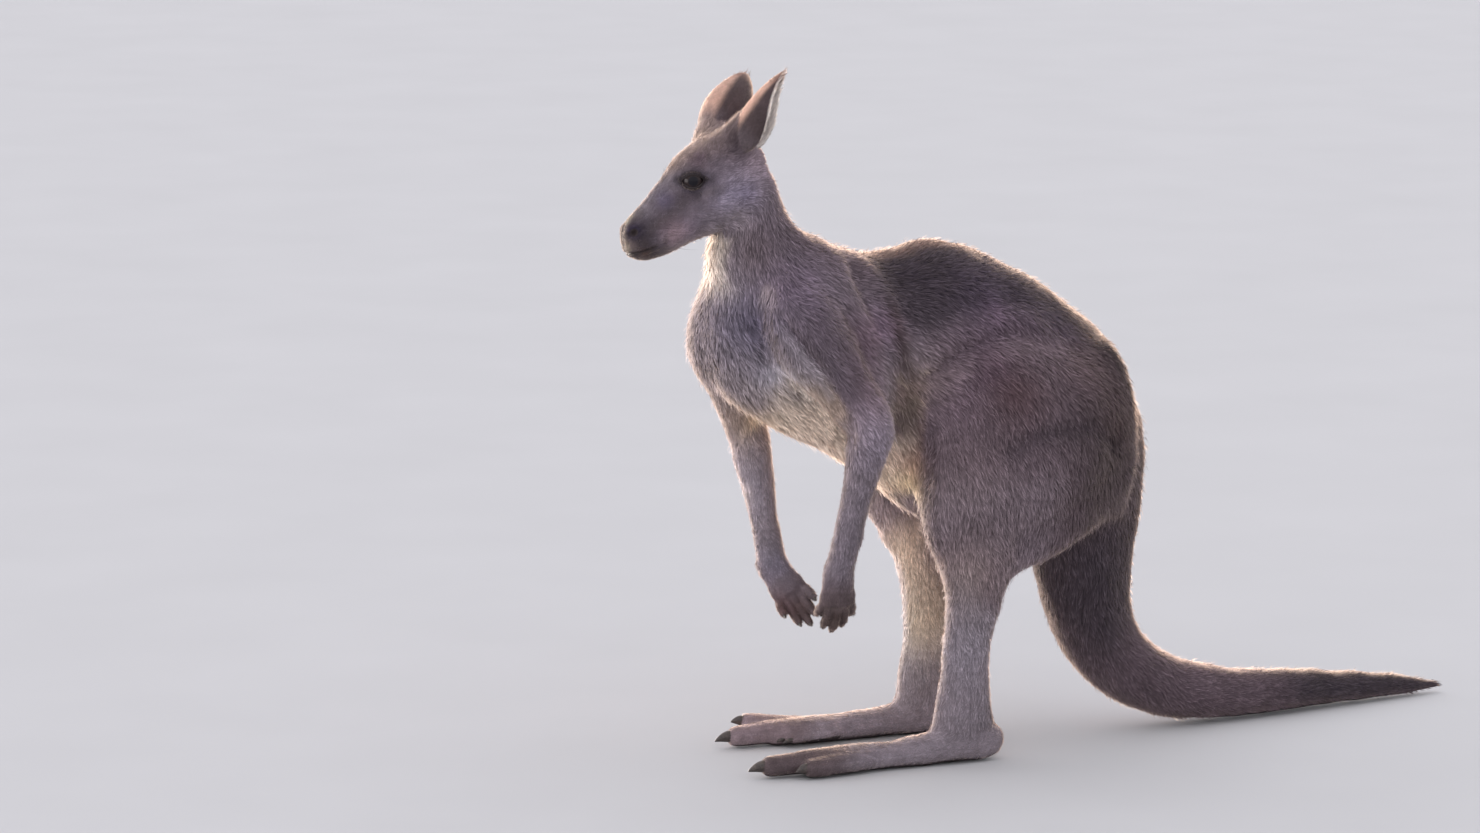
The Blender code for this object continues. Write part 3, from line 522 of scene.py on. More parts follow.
@dataclass(frozen=True)
class Leg:
    """The masses of one leg and foot."""

    side: Side
    stagger: float = 0.018
    spread: float = 0.095

    def at(self, rows: Rows, staggers: Numbers) -> Array:
        """Mirror and stagger layout rows of x, y, z, half width and half depth.

        Args:
            rows: of the left leg.
            staggers: for each row, how far it shares in the stagger of the feet.

        Returns:
            The rows in the frame.
        """
        rows = np.array(rows)
        rows[:, 0] *= self.side.value
        rows[:, 1] -= self.stagger / 2 * self.side.value * np.array(staggers)
        rows[:, :3] -= LAYOUT_ORIGIN
        return rows

    def toes(self) -> list[tuple[Array, Array, float, float]]:
        """Return start, end, radius and claw length of the four toes."""
        x = self.spread
        reach, rise = (0.186, 0.0) if self.side is Side.LEFT else (0.213, 0.016)
        layout = (((x + 0.002, -0.165, 0.020), (x + 0.002, -0.241, 0.0170), 0.0175, 0.024),
                  ((x + 0.022, -0.120, 0.018), (x + 0.029, -reach, 0.0155 + rise), 0.0155, 0.017),
                  ((x - 0.020, -0.110, 0.019), (x - 0.019, -0.166, 0.0125), 0.0080, 0.013),
                  ((x - 0.029, -0.108, 0.017), (x - 0.029, -0.160, 0.0120), 0.0075, 0.013))
        made = []
        for start, stop, radius, claw in layout:
            ends = self.at(((*start, 0, 0), (*stop, 0, 0)), (1.0, 1.0))[:, :3]
            made.append((ends[0], ends[1], radius, claw))
        return made

    def masses(self) -> list[Shell]:
        """Return thigh, shank, hamstring, foot and toes as closed shells."""
        thigh = self.at(((0.058, 0.300, 0.480, 0.050, 0.080), (0.078, 0.235, 0.484, 0.074, 0.126),
                         (0.090, 0.150, 0.472, 0.083, 0.150), (0.103, 0.070, 0.450, 0.077, 0.130),
                         (0.116, 0.012, 0.436, 0.061, 0.090), (0.122, -0.026, 0.432, 0.036, 0.048)),
                        (0.0,) * 6)
        shank = self.at(((0.126, 0.030, 0.460, 0.050, 0.062), (0.124, 0.048, 0.380, 0.051, 0.074),
                         (0.116, 0.070, 0.310, 0.046, 0.064), (0.107, 0.072, 0.248, 0.038, 0.047),
                         (0.100, 0.069, 0.200, 0.032, 0.040), (0.096, 0.067, 0.150, 0.030, 0.039),
                         (0.095, 0.065, 0.105, 0.030, 0.044), (0.095, 0.063, 0.058, 0.030, 0.049),
                         (0.095, 0.061, 0.025, 0.026, 0.043)),
                        (0.0, 0.1, 0.3, 0.6, 0.8, 1.0, 1.0, 1.0, 1.0))
        hamstring = self.at(((0.050, 0.285, 0.460, 0.050, 0.070), (0.072, 0.245, 0.400, 0.056, 0.066),
                             (0.094, 0.180, 0.350, 0.050, 0.056), (0.108, 0.115, 0.310, 0.036, 0.040),
                             (0.110, 0.085, 0.270, 0.028, 0.030)), (0.0, 0.0, 0.0, 0.2, 0.4))
        x = self.spread
        foot = self.at(((x, 0.130, 0.024, 0.012, 0.015), (x, 0.114, 0.028, 0.022, 0.028),
                        (x, 0.075, 0.029, 0.028, 0.032), (x, 0.020, 0.024, 0.028, 0.026),
                        (x, -0.050, 0.019, 0.028, 0.021), (x, -0.110, 0.019, 0.030, 0.021),
                        (x, -0.150, 0.018, 0.028, 0.020), (x, -0.185, 0.017, 0.019, 0.019)), (1.0,) * 8)
        shells = [tube(rows, ASIDE) for rows in (thigh, shank, hamstring, foot)]
        for start, stop, radius, _ in self.toes():
            rows = ((*(start + (start - stop) * 0.5), radius * 0.9, radius),
                    (*start, radius * 1.05, radius * 1.1),
                    (*((start + stop) / 2), radius, radius),
                    (*stop, radius * 0.92, radius * 0.95),
                    (*(stop + unit(stop - start) * radius * 0.6), radius * 0.55, radius * 0.62))
            shells.append(tube(rows, ASIDE, 16))
        return shells


@dataclass(frozen=True)
class Masses:
    """The lofted masses that grow together into the body."""

    # top y, top z, low y, low z, middle x, half width, turn of the width in degrees
    trunk_rows: Rows = (
        (0.338, 0.560, 0.215, 0.360, 0.000, 0.070, 0), (0.318, 0.608, 0.185, 0.338, 0.000, 0.098, 0),
        (0.270, 0.650, 0.130, 0.328, 0.000, 0.120, 0), (0.156, 0.726, 0.070, 0.335, 0.000, 0.134, 0),
        (0.040, 0.767, 0.000, 0.360, 0.008, 0.134, 2), (-0.070, 0.750, -0.075, 0.421, 0.028, 0.118, 8),
        (-0.130, 0.766, -0.172, 0.479, 0.050, 0.106, 18), (-0.180, 0.794, -0.270, 0.535, 0.068, 0.099, 33),
        (-0.204, 0.803, -0.312, 0.595, 0.075, 0.093, 33), (-0.214, 0.811, -0.325, 0.662, 0.078, 0.081, 33),
        (-0.220, 0.822, -0.323, 0.726, 0.078, 0.066, 20), (-0.227, 0.845, -0.321, 0.776, 0.078, 0.057, 8),
        (-0.239, 0.882, -0.318, 0.808, 0.078, 0.052, 3))
    # along, top, bottom and half width in the head's frame
    skull_rows: Rows = (
        (-0.056, 0.050, -0.010, 0.026), (-0.042, 0.076, -0.034, 0.042), (-0.020, 0.089, -0.042, 0.049),
        (0.010, 0.095, -0.042, 0.052), (0.040, 0.098, -0.039, 0.050), (0.062, 0.095, -0.033, 0.043),
        (0.084, 0.089, -0.025, 0.034), (0.105, 0.086, -0.015, 0.029), (0.128, 0.082, -0.008, 0.027),
        (0.148, 0.080, -0.002, 0.0265), (0.163, 0.0775, 0.0055, 0.0255), (0.177, 0.0715, 0.0130, 0.0230),
        (0.187, 0.0600, 0.0230, 0.0175), (0.1930, 0.046, 0.034, 0.009))
    # x, y, z, half width and half depth
    tail_rows: Rows = (
        (0.000, 0.235, 0.560, 0.080, 0.085), (0.000, 0.276, 0.470, 0.084, 0.098),
        (0.000, 0.286, 0.380, 0.078, 0.094), (0.000, 0.284, 0.295, 0.069, 0.083),
        (-0.002, 0.295, 0.205, 0.059, 0.070), (-0.006, 0.337, 0.122, 0.051, 0.059),
        (-0.012, 0.415, 0.067, 0.045, 0.050), (-0.020, 0.510, 0.043, 0.041, 0.044),
        (-0.032, 0.605, 0.036, 0.036, 0.038), (-0.046, 0.700, 0.030, 0.031, 0.032),
        (-0.060, 0.800, 0.023, 0.025, 0.025), (-0.070, 0.880, 0.016, 0.017, 0.018),
        (-0.075, 0.930, 0.011, 0.009, 0.010))
    # fills the hollow between thigh and root of the tail
    buttock_rows: Rows = (
        (0.062, 0.272, 0.605, 0.030, 0.034), (0.072, 0.294, 0.548, 0.037, 0.039),
        (0.074, 0.301, 0.480, 0.038, 0.040), (0.070, 0.300, 0.410, 0.035, 0.037),
        (0.064, 0.292, 0.350, 0.026, 0.028))

    def trunk(self) -> Shell:
        """Hang ellipses between the points of the back and of the belly."""
        rows = smooth_rows(self.trunk_rows, 5)
        none = np.zeros(len(rows))
        top = np.stack([rows[:, 4], rows[:, 0], rows[:, 1]], axis=1)
        low = np.stack([rows[:, 4], rows[:, 2], rows[:, 3]], axis=1)
        swing = np.radians(rows[:, 6])
        across = np.stack([np.cos(swing), np.sin(swing), none], axis=1) * rows[:, 5:6]
        angle = np.linspace(0, 2 * math.pi, 32, endpoint=False)[None, :, None]
        rings = ((top + low)[:, None] / 2 + np.cos(angle) * across[:, None]
                 + np.sin(angle) * (top - low)[:, None] / 2)
        return closed_rings(rings - LAYOUT_ORIGIN)

    def head(self) -> list[Shell]:
        """Stack ellipses along the skull, and add cheeks, brows, lips and nostril rims."""
        rows = smooth_rows(self.skull_rows, 5)
        angle = np.linspace(0, 2 * math.pi, 32, endpoint=False)[None, :]
        along = rows[:, :1] + 0 * angle
        left = rows[:, 3:4] * np.cos(angle)
        up = (rows[:, 1:2] + rows[:, 2:3]) / 2 + (rows[:, 1:2] - rows[:, 2:3]) / 2 * np.sin(angle)
        rings = placed(HEAD.root) + np.stack([along, left, up], axis=-1) @ HEAD.axes()
        shells = [closed_rings(rings)]
        for sign in (1, -1):
            for (along, left, up), radii in (((0.012, 0.026, 0.008), (0.046, 0.030, 0.040)),
                                             ((0.044, 0.0305, 0.078), (0.022, 0.009, 0.008)),
                                             ((0.146, 0.011, 0.032), (0.030, 0.016, 0.018)),
                                             ((0.167, 0.010, 0.063), (0.014, 0.010, 0.012))):
                shells.append(ball(HEAD.place(along, left * sign, up), radii, HEAD.axes()))
        return shells + [self.ear_base(side) for side in Side]

    def ear_base(self, side: Side) -> Shell:
        """Carry a cone from the top of the head up the back of one ear."""
        root, tip, opening, _ = Ear(side).pose()
        along = unit(tip - root)
        back = unit(along * (opening @ along) - opening)
        front = HEAD.place(0.006, 0.017 * side.value, 0.064)
        stations = [(*front, 0.026, 0.026), (*root, 0.0265, 0.0300)]
        for climb, set_back, deep, wide in ((0.024, 0.002, 0.0215, 0.0270), (0.045, 0.008, 0.0130, 0.0205),
                                            (0.062, 0.012, 0.0060, 0.0120)):
            stations.append((*(root + along * climb + back * set_back), deep, wide))
        return tube(stations, back, 24, 6)

    def all(self) -> list[Shell]:
        """Return every mass of the body."""
        shells = [self.trunk(), tube(laid(self.tail_rows), ASIDE)] + self.head()
        for side in Side:
            shells += Leg(side).masses() + Arm(side).masses()
            shells.append(tube(laid(self.buttock_rows, side.value), ASIDE))
        return shells


# ------------------------------------------------------------------ what lies under each place
@dataclass(frozen=True)
class Bone:
    """A line through the body that says what the coat over it is like."""

    start: Array
    stop: Array
    radius: float
    patch: Patch
    length: float            # of a tuft
    depth: float             # of the coat
    width: float             # of a tuft
    thickness: float         # tufts for each unit of area, against the others
    colour: Numbers
    flow: Numbers | None = None

    def lie(self) -> Array:
        """Return the way in which its hair lies."""
        return unit(self.stop - self.start) if self.flow is None else unit(np.array(self.flow))


GREY = (0.190, 0.150, 0.176)
SOOT = (0.044, 0.034, 0.044)
TAWNY = (0.122, 0.087, 0.103)
CREAM = (0.560, 0.440, 0.350)
ASH = (0.275, 0.235, 0.262)
SLATE = (0.122, 0.092, 0.116)
PAW = (0.080, 0.052, 0.050)
KNUCKLE = (0.118, 0.087, 0.092)
MUZZLE = (0.070, 0.056, 0.074)
RUST = (0.215, 0.105, 0.082)


@dataclass(frozen=True)
class Fold:
    """A groove of the body between two muscles."""

    path: Rows
    depth: float
    wide: float
    fine: bool = True        # whether triangles and hair are smaller along it

    def gap(self, points: Array) -> Array:
        """Return the distance from points to the fold."""
        return nearest_on_path(points, np.array(self.path))


FOLDS = {
    "bib": Fold(((0.111, -0.512, 0.683), (0.111, -0.509, 0.659), (0.111, -0.504, 0.637),
                 (0.110, -0.497, 0.614)), 0.0050, 0.009),
    "breast": Fold(((0.115, -0.471, 0.595), (0.110, -0.439, 0.560), (0.099, -0.413, 0.528)), 0.0030, 0.014),
    "arm_front": Fold(((0.165, -0.494, 0.688), (0.184, -0.471, 0.655), (0.189, -0.442, 0.614),
                       (0.186, -0.417, 0.577), (0.183, -0.397, 0.547), (0.163, -0.389, 0.508)),
                      0.0080, 0.009),
    "arm_rear": Fold(((0.099, -0.359, 0.743), (0.122, -0.337, 0.687), (0.131, -0.317, 0.629),
                      (0.130, -0.302, 0.577), (0.120, -0.306, 0.525)), 0.0085, 0.014),
    "haunch_top": Fold(((0.128, -0.255, 0.589), (0.121, -0.197, 0.624), (0.107, -0.131, 0.640),
                        (0.100, -0.085, 0.642)), 0.0110, 0.012),
    "haunch_side": Fold(((0.163, -0.137, 0.475), (0.159, -0.104, 0.495), (0.150, -0.046, 0.505),
                         (0.139, 0.006, 0.497), (0.119, 0.045, 0.469)), 0.0045, 0.014),
    "thigh_front": Fold(((0.128, -0.255, 0.589), (0.125, -0.256, 0.530), (0.128, -0.257, 0.466),
                         (0.126, -0.257, 0.428)), 0.0060, 0.014),
    "flank": Fold(((0.114, -0.288, 0.669), (0.131, -0.302, 0.599), (0.121, -0.301, 0.525),
                   (0.088, -0.297, 0.460)), 0.0030, 0.016, False),
    "knee": Fold(((0.114, -0.234, 0.313), (0.152, -0.210, 0.348), (0.152, -0.147, 0.358)),
                 0.0040, 0.012, False),
}
FINE_FOLDS = tuple(fold for fold in FOLDS.values() if fold.fine)

# lighter and darker places of the coat, partly coat colour and partly painted light and shade: x, y, z, size
# and a factor for red, green and blue
BODY_COLOUR_AND_LIGHT_WASHES: Rows = (
    (0.115, -0.517, 0.784, 0.045, 0.68, 0.64, 0.62), (0.140, -0.470, 0.735, 0.060, 0.84, 0.76, 0.90),
    (0.137, -0.361, 0.655, 0.050, 0.90, 0.76, 0.82), (0.173, -0.357, 0.578, 0.042, 1.45, 1.34, 1.32),
    (0.182, -0.372, 0.512, 0.048, 1.45, 1.45, 1.52), (0.106, 0.012, 0.581, 0.048, 1.40, 1.30, 1.30),
    (0.111, 0.060, 0.500, 0.048, 0.66, 0.54, 0.56), (0.130, -0.207, 0.548, 0.042, 1.22, 1.18, 1.22),
    (0.141, -0.123, 0.559, 0.045, 0.86, 0.72, 0.70), (0.156, -0.203, 0.450, 0.070, 1.20, 1.20, 1.14),
    (0.140, -0.195, 0.297, 0.055, 1.25, 1.18, 1.04), (0.046, -0.023, 0.665, 0.050, 0.60, 0.58, 0.90),
    (0.075, -0.150, 0.700, 0.070, 1.14, 1.08, 1.30), (0.084, -0.259, 0.411, 0.035, 1.35, 1.45, 1.20),
    (0.115, -0.277, 0.585, 0.040, 1.70, 1.72, 1.50), (0.120, -0.318, 0.668, 0.030, 1.30, 1.18, 1.30),
    (0.105, -0.272, 0.461, 0.036, 0.80, 0.70, 0.70), (0.060, -0.264, 0.750, 0.045, 0.82, 0.78, 0.90),
    (0.119, -0.159, 0.596, 0.034, 0.88, 0.80, 0.88), (0.095, -0.140, 0.684, 0.020, 1.80, 1.68, 1.75),
    (0.112, -0.440, 0.577, 0.030, 0.80, 0.84, 0.90), (0.111, -0.189, 0.177, 0.055, 1.18, 1.22, 1.24),
    (0.098, -0.522, 0.676, 0.050, 1.12, 1.16, 1.36))
# the same on the right side alone, mostly painted light: the right arm, shank and foot are painted paler
# where the lamps light them less; the last row browns the right fingers
FAR_PAINTED_LIGHT_WASHES: Rows = (
    (0.006, -0.425, 0.270, 0.042, 1.65, 1.85, 2.00), (-0.012, -0.470, 0.442, 0.065, 1.42, 1.48, 1.55),
    (-0.003, -0.495, 0.516, 0.048, 1.45, 1.30, 1.00), (-0.095, -0.439, 0.016, 0.080, 2.60, 2.70, 2.75),
    (-0.113, -0.214, 0.293, 0.070, 1.78, 1.84, 1.74),
    (-0.090, -0.184, 0.150, 0.075, 1.20, 1.26, 1.16), (0.006, -0.440, 0.232, 0.030, 0.82, 0.62, 0.58))
# the same on the head, as distances along it, to a side and up; partly coat colour and partly painted light
# and shade
HEAD_COLOUR_AND_LIGHT_WASHES: Rows = (
    (-0.026, 0.047, 0.028, 0.022, 1.55, 1.50, 1.45), (-0.022, 0.053, 0.070, 0.026, 0.62, 0.59, 0.62),
    (0.033, 0.030, 0.085, 0.014, 0.64, 0.58, 0.70), (0.074, 0.036, 0.052, 0.014, 0.62, 0.60, 0.66),
    (0.159, 0.007, 0.076, 0.012, 2.00, 2.10, 1.70), (0.184, 0.016, 0.051, 0.010, 2.90, 2.90, 2.40),
    (0.176, 0.021, 0.029, 0.008, 1.60, 1.30, 1.00), (0.129, 0.026, 0.025, 0.018, 2.30, 2.00, 1.85),
    (0.104, 0.025, 0.011, 0.016, 1.25, 1.20, 1.25), (0.043, 0.038, -0.023, 0.020, 1.42, 1.46, 1.38),
    (0.040, 0.049, 0.026, 0.018, 1.18, 1.20, 1.26), (0.016, 0.054, 0.004, 0.018, 0.86, 0.86, 0.94),
    (0.106, 0.022, 0.068, 0.014, 0.86, 0.88, 1.08), (0.168, 0.018, 0.066, 0.012, 0.34, 0.30, 0.74))


def bones() -> list[Bone]:
    """Return the lines that carry the coat's lie, length, depth, density and ground colour."""
    forward, _, up = HEAD.axes()
    back = tuple(-forward - 0.10 * up)
    low = tuple(-forward - 0.45 * up)
    made = []
    for sign, patch in ((1, Patch.FACE_LEFT), (-1, Patch.FACE_RIGHT)):
        made += [
            Bone(HEAD.place(0.178, 0.006 * sign, 0.040), HEAD.place(0.105, 0.006 * sign, 0.035), 0.026,
                 patch, 0.0030, 0.0008, 0.00050, 7.5, MUZZLE, back),
            Bone(HEAD.place(0.095, 0.010 * sign, 0.035), HEAD.place(0.035, 0.014 * sign, 0.045), 0.040,
                 patch, 0.0048, 0.0015, 0.00062, 5.6, GREY, back),
            Bone(HEAD.place(0.030, 0.016 * sign, 0.000), HEAD.place(-0.025, 0.016 * sign, 0.005), 0.042,
                 patch, 0.0075, 0.0024, 0.00075, 4.4, GREY, low),
            Bone(HEAD.place(0.015, 0.014 * sign, 0.060), HEAD.place(-0.040, 0.014 * sign, 0.050), 0.036,
                 patch, 0.0065, 0.0022, 0.00072, 4.6, GREY, back),
        ]
    line = placed(np.array(((0.078, -0.270, 0.835), (0.077, -0.268, 0.740), (0.072, -0.245, 0.650),
                            (0.050, -0.150, 0.590), (0.010, 0.040, 0.550), (0.000, 0.200, 0.500),
                            (0.000, 0.275, 0.430))))
    down, slant = (0.05, 0.35, -0.93), (0.0, 0.72, -0.69)
    made += [
        Bone(line[0], line[1], 0.058, Patch.NECK, 0.0130, 0.0042, 0.00105, 1.7, GREY, (0.0, 0.10, -1.0)),
        Bone(line[1], line[2], 0.085, Patch.CHEST, 0.0150, 0.0052, 0.00115, 1.35, ASH, down),
        Bone(line[2], line[3], 0.105, Patch.CHEST, 0.0160, 0.0055, 0.00120, 1.25, ASH, slant),
        Bone(line[3], line[4], 0.125, Patch.BELLY, 0.0170, 0.0058, 0.00125, 1.15, GREY, slant),
        Bone(line[4], line[5], 0.130, Patch.BELLY, 0.0170, 0.0055, 0.00125, 1.15, TAWNY, slant),
        Bone(line[5], line[6], 0.110, Patch.RUMP, 0.0160, 0.0052, 0.00125, 1.15, TAWNY, (0, 0.6, -0.8)),
    ]
    spine = placed(np.array(((0.078, -0.225, 0.800), (0.060, -0.165, 0.755), (0.028, -0.070, 0.715),
                             (0.006, 0.050, 0.715), (0.000, 0.160, 0.680), (0.000, 0.270, 0.600),
                             (0.000, 0.320, 0.520), (0.000, 0.310, 0.420))))
    shades = (GREY, TAWNY, SOOT, SOOT, SOOT, SOOT, SOOT)
    for index, shade in enumerate(shades):
        patch = Patch.NECK if index == 0 else Patch.BACK if index < 5 else Patch.RUMP
        made.append(Bone(spine[index], spine[index + 1], 0.060, patch, 0.0150, 0.0046, 0.00115, 1.35, shade))
    tail = placed(np.array(((0.0, 0.286, 0.380), (-0.002, 0.295, 0.205), (-0.012, 0.415, 0.067),
                            (-0.032, 0.605, 0.036), (-0.060, 0.800, 0.023), (-0.075, 0.935, 0.011))))
    for index, (radius, length) in enumerate(((0.080, 0.014), (0.055, 0.013), (0.042, 0.0125),
                                              (0.034, 0.012), (0.020, 0.012))):
        made.append(Bone(tail[index], tail[index + 1], radius, Patch.TAIL, length, 0.0040, 0.0011, 1.4,
                         (SOOT, TAWNY, TAWNY, SOOT, SOOT)[index]))
    for side in Side:
        made += limb_bones(side)
    return made


def limb_bones(side: Side) -> list[Bone]:
    """Return the lines of one arm and one leg."""
    s = side.value
    shoulder, elbow, wrist, knuckles = Arm(side).joints()
    down = Arm(side).hand_axes()[0]
    arm, thigh, leg = (Patch.of(part, side) for part in ("ARM", "THIGH", "LEG"))
    y = -0.009 * s
    ends = placed(np.array((
        (0.085 * s, 0.210, 0.500), (0.112 * s, 0.020, 0.430), (0.080 * s, 0.220, 0.410),
        (0.110 * s, 0.090, 0.280), (0.124 * s, 0.040, 0.385), (0.101 * s, 0.070, 0.200),
        (0.095 * s, 0.064 + y, 0.060), (0.095 * s, 0.110 + y, 0.028), (0.095 * s, -0.100 + y, 0.018),
        (0.098 * s, -0.235 + y, 0.014))))
    return [
        Bone(shoulder, elbow, 0.055, arm, 0.0125, 0.0042, 0.0010, 1.7, SLATE),
        Bone(elbow, wrist, 0.029, arm, 0.0085, 0.0026, 0.00085, 2.3, GREY),
        Bone(wrist, knuckles, 0.024, arm, 0.0052, 0.0011, 0.00065, 3.6, KNUCKLE),
        Bone(knuckles, knuckles + down * 0.045, 0.022, arm, 0.0036, 0.0006, 0.00055, 4.4, PAW),
        Bone(ends[0], ends[1], 0.125, thigh, 0.0150, 0.0050, 0.00120, 1.2, TAWNY, (0.0, 0.30, -0.95)),
        Bone(ends[2], ends[3], 0.060, thigh, 0.0140, 0.0048, 0.00115, 1.3, TAWNY, (0.0, -0.25, -0.97)),
        Bone(ends[4], ends[5], 0.052, leg, 0.0115, 0.0036, 0.0010, 1.7, ASH),
        Bone(ends[5], ends[6], 0.034, leg, 0.0085, 0.0024, 0.00085, 2.2, ASH),
        Bone(ends[7], ends[8], 0.030, leg, 0.0062, 0.0014, 0.00075, 2.6, ASH),
        Bone(ends[8], ends[9], 0.024, leg, 0.0052, 0.0010, 0.00065, 3.2, KNUCKLE),
    ]


# ------------------------------------------------------------------ eyes' places
@dataclass(frozen=True)
class EyePlace:
    """Where one eye sits, and the almond between its lids."""

    side: Side
    radius: float = 0.0158
    half_length: float = 0.0146
    above: float = 0.0088
    below: float = 0.0090
    tilt: float = math.radians(38.0)

    def centre(self) -> Array:
        """Return the middle of the eyeball."""
        return HEAD.place(0.0568, 0.0268 * self.side.value, 0.0648)

    def axes(self) -> Array:
        """Return front, up and out of the eye as three rows."""
        head = HEAD.axes()
        out = unit(np.array((0.20, 0.95 * self.side.value, 0.20)) @ head)
        front = np.array((math.cos(self.tilt), 0.0, math.sin(self.tilt))) @ head
        front = unit(front - out * (front @ out))
        up = np.cross(out, front)
        return np.array((front, up if up @ head[2] > 0 else -up, out))

    def local(self, points: Array) -> Array:
        """Return points as distances along front, up and out of the eye."""
        return (points - self.centre()) @ self.axes().T

    def ring(self, local: Array) -> Array:
        """Return how far out places lie, counted so that the almond's edge is 1."""
        x = np.clip(local[:, 0] / self.half_length, -2.5, 2.5)
        height = np.where(local[:, 1] > 0, self.above, self.below)
        y = local[:, 1] / (height * (1.0 - 0.25 * np.minimum(x * x, 1.4)))
        return np.hypot(x, y)

    def edge(self, count: int, scale: float, radius: float) -> Array:
        """Return the almond's edge, carried out onto a ball around the eye.

        Args:
            count: points around it.
            scale: size against the almond's own.
            radius: of the ball.
        """
        angle = np.linspace(0, 2 * math.pi, count, endpoint=False)
        x = self.half_length * np.cos(angle) * scale
        height = np.where(np.sin(angle) > 0, self.above, self.below)
        y = height * np.sin(angle) * (1.0 - 0.25 * np.cos(angle) ** 2) * scale
        z = np.sqrt(np.maximum(self.radius ** 2 - x * x - y * y, 1e-8))
        return self.centre() + unit(np.stack([x, y, z], axis=1)) * radius @ self.axes()


EYES = (EyePlace(Side.LEFT), EyePlace(Side.RIGHT))
MOUTH = np.array(((0.202, 0.0450), (0.188, 0.0395), (0.174, 0.0330), (0.1457, 0.0235),
                  (0.127, 0.0165), (0.108, 0.0120)))
NOSTRIL = (0.1680, 0.0145, 0.0625)
# hills and hollows of the head: height, then place and sizes along it, to a side and up
HEAD_HILLS = (
    (-0.0022, (0.082, 0.026, 0.052), (0.014, 0.016, 0.012)),
    (0.0022, (0.040, 0.045, 0.036), (0.032, 0.020, 0.008)),
    (-0.0016, (0.020, 0.048, 0.062), (0.020, 0.020, 0.010)),
    (0.0020, (0.052, 0.030, 0.0845), (0.016, 0.012, 0.006)),
    (-0.0015, (0.112, 0.026, 0.040), (0.020, 0.012, 0.010)),
    (0.0012, (0.140, 0.022, 0.034), (0.018, 0.012, 0.008)),
    (0.0015, (0.030, 0.045, -0.002), (0.030, 0.020, 0.022)),
    (-0.0075, NOSTRIL, (0.0052, 0.0090, 0.0032)),
    (-0.0032, (0.1605, 0.0155, 0.0590), (0.0040, 0.0080, 0.0018)),
    (0.0014, (0.1690, 0.0140, 0.0690), (0.0060, 0.0070, 0.0020)),
    (-0.0115, (-0.0560, 0.0, -0.0030), (0.0220, 0.055, 0.0200)))


def ear_root(side: Side) -> Array:
    """Return where an ear stands on the head."""
    if side is Side.LEFT:
        return HEAD.place(-0.022, 0.031, 0.066)
    return HEAD.place(-0.018, -0.030, 0.070)


# ------------------------------------------------------------------ skin
@dataclass
class Fields:
    """What the coat needs to know at every point of a surface."""

    normal: Array
    flow: Array
    length: Array
    depth: Array
    width: Array
    density: Array
    colour: Array
    sketch: Array            # places on the flat unwrap of each patch
    patch: Array


@dataclass
class Coating:
    """The ground colour at every point, and what is laid over it."""

    colour: Array

    def lay(self, tint: Numbers | Array, share: Array) -> None:
        """Cover the colour with a tint, by a share between 0 and 1 at each point."""
        self.colour = blend(self.colour, tint, share)

    def wash(self, points: Array, washes: Rows) -> None:
        """Multiply the colour around places by a factor for each channel; the washes hold painted light and
        shade as well as colour.

        Args:
            points: of the skin, as the washes count them.
            washes: place, size and factors of each.
        """
        for x, y, z, size, *factor in washes:
            reach = hump(points, (x, y, z), size)[:, None]
            self.colour = self.colour * (1.0 + (np.array(factor) - 1.0) * reach)


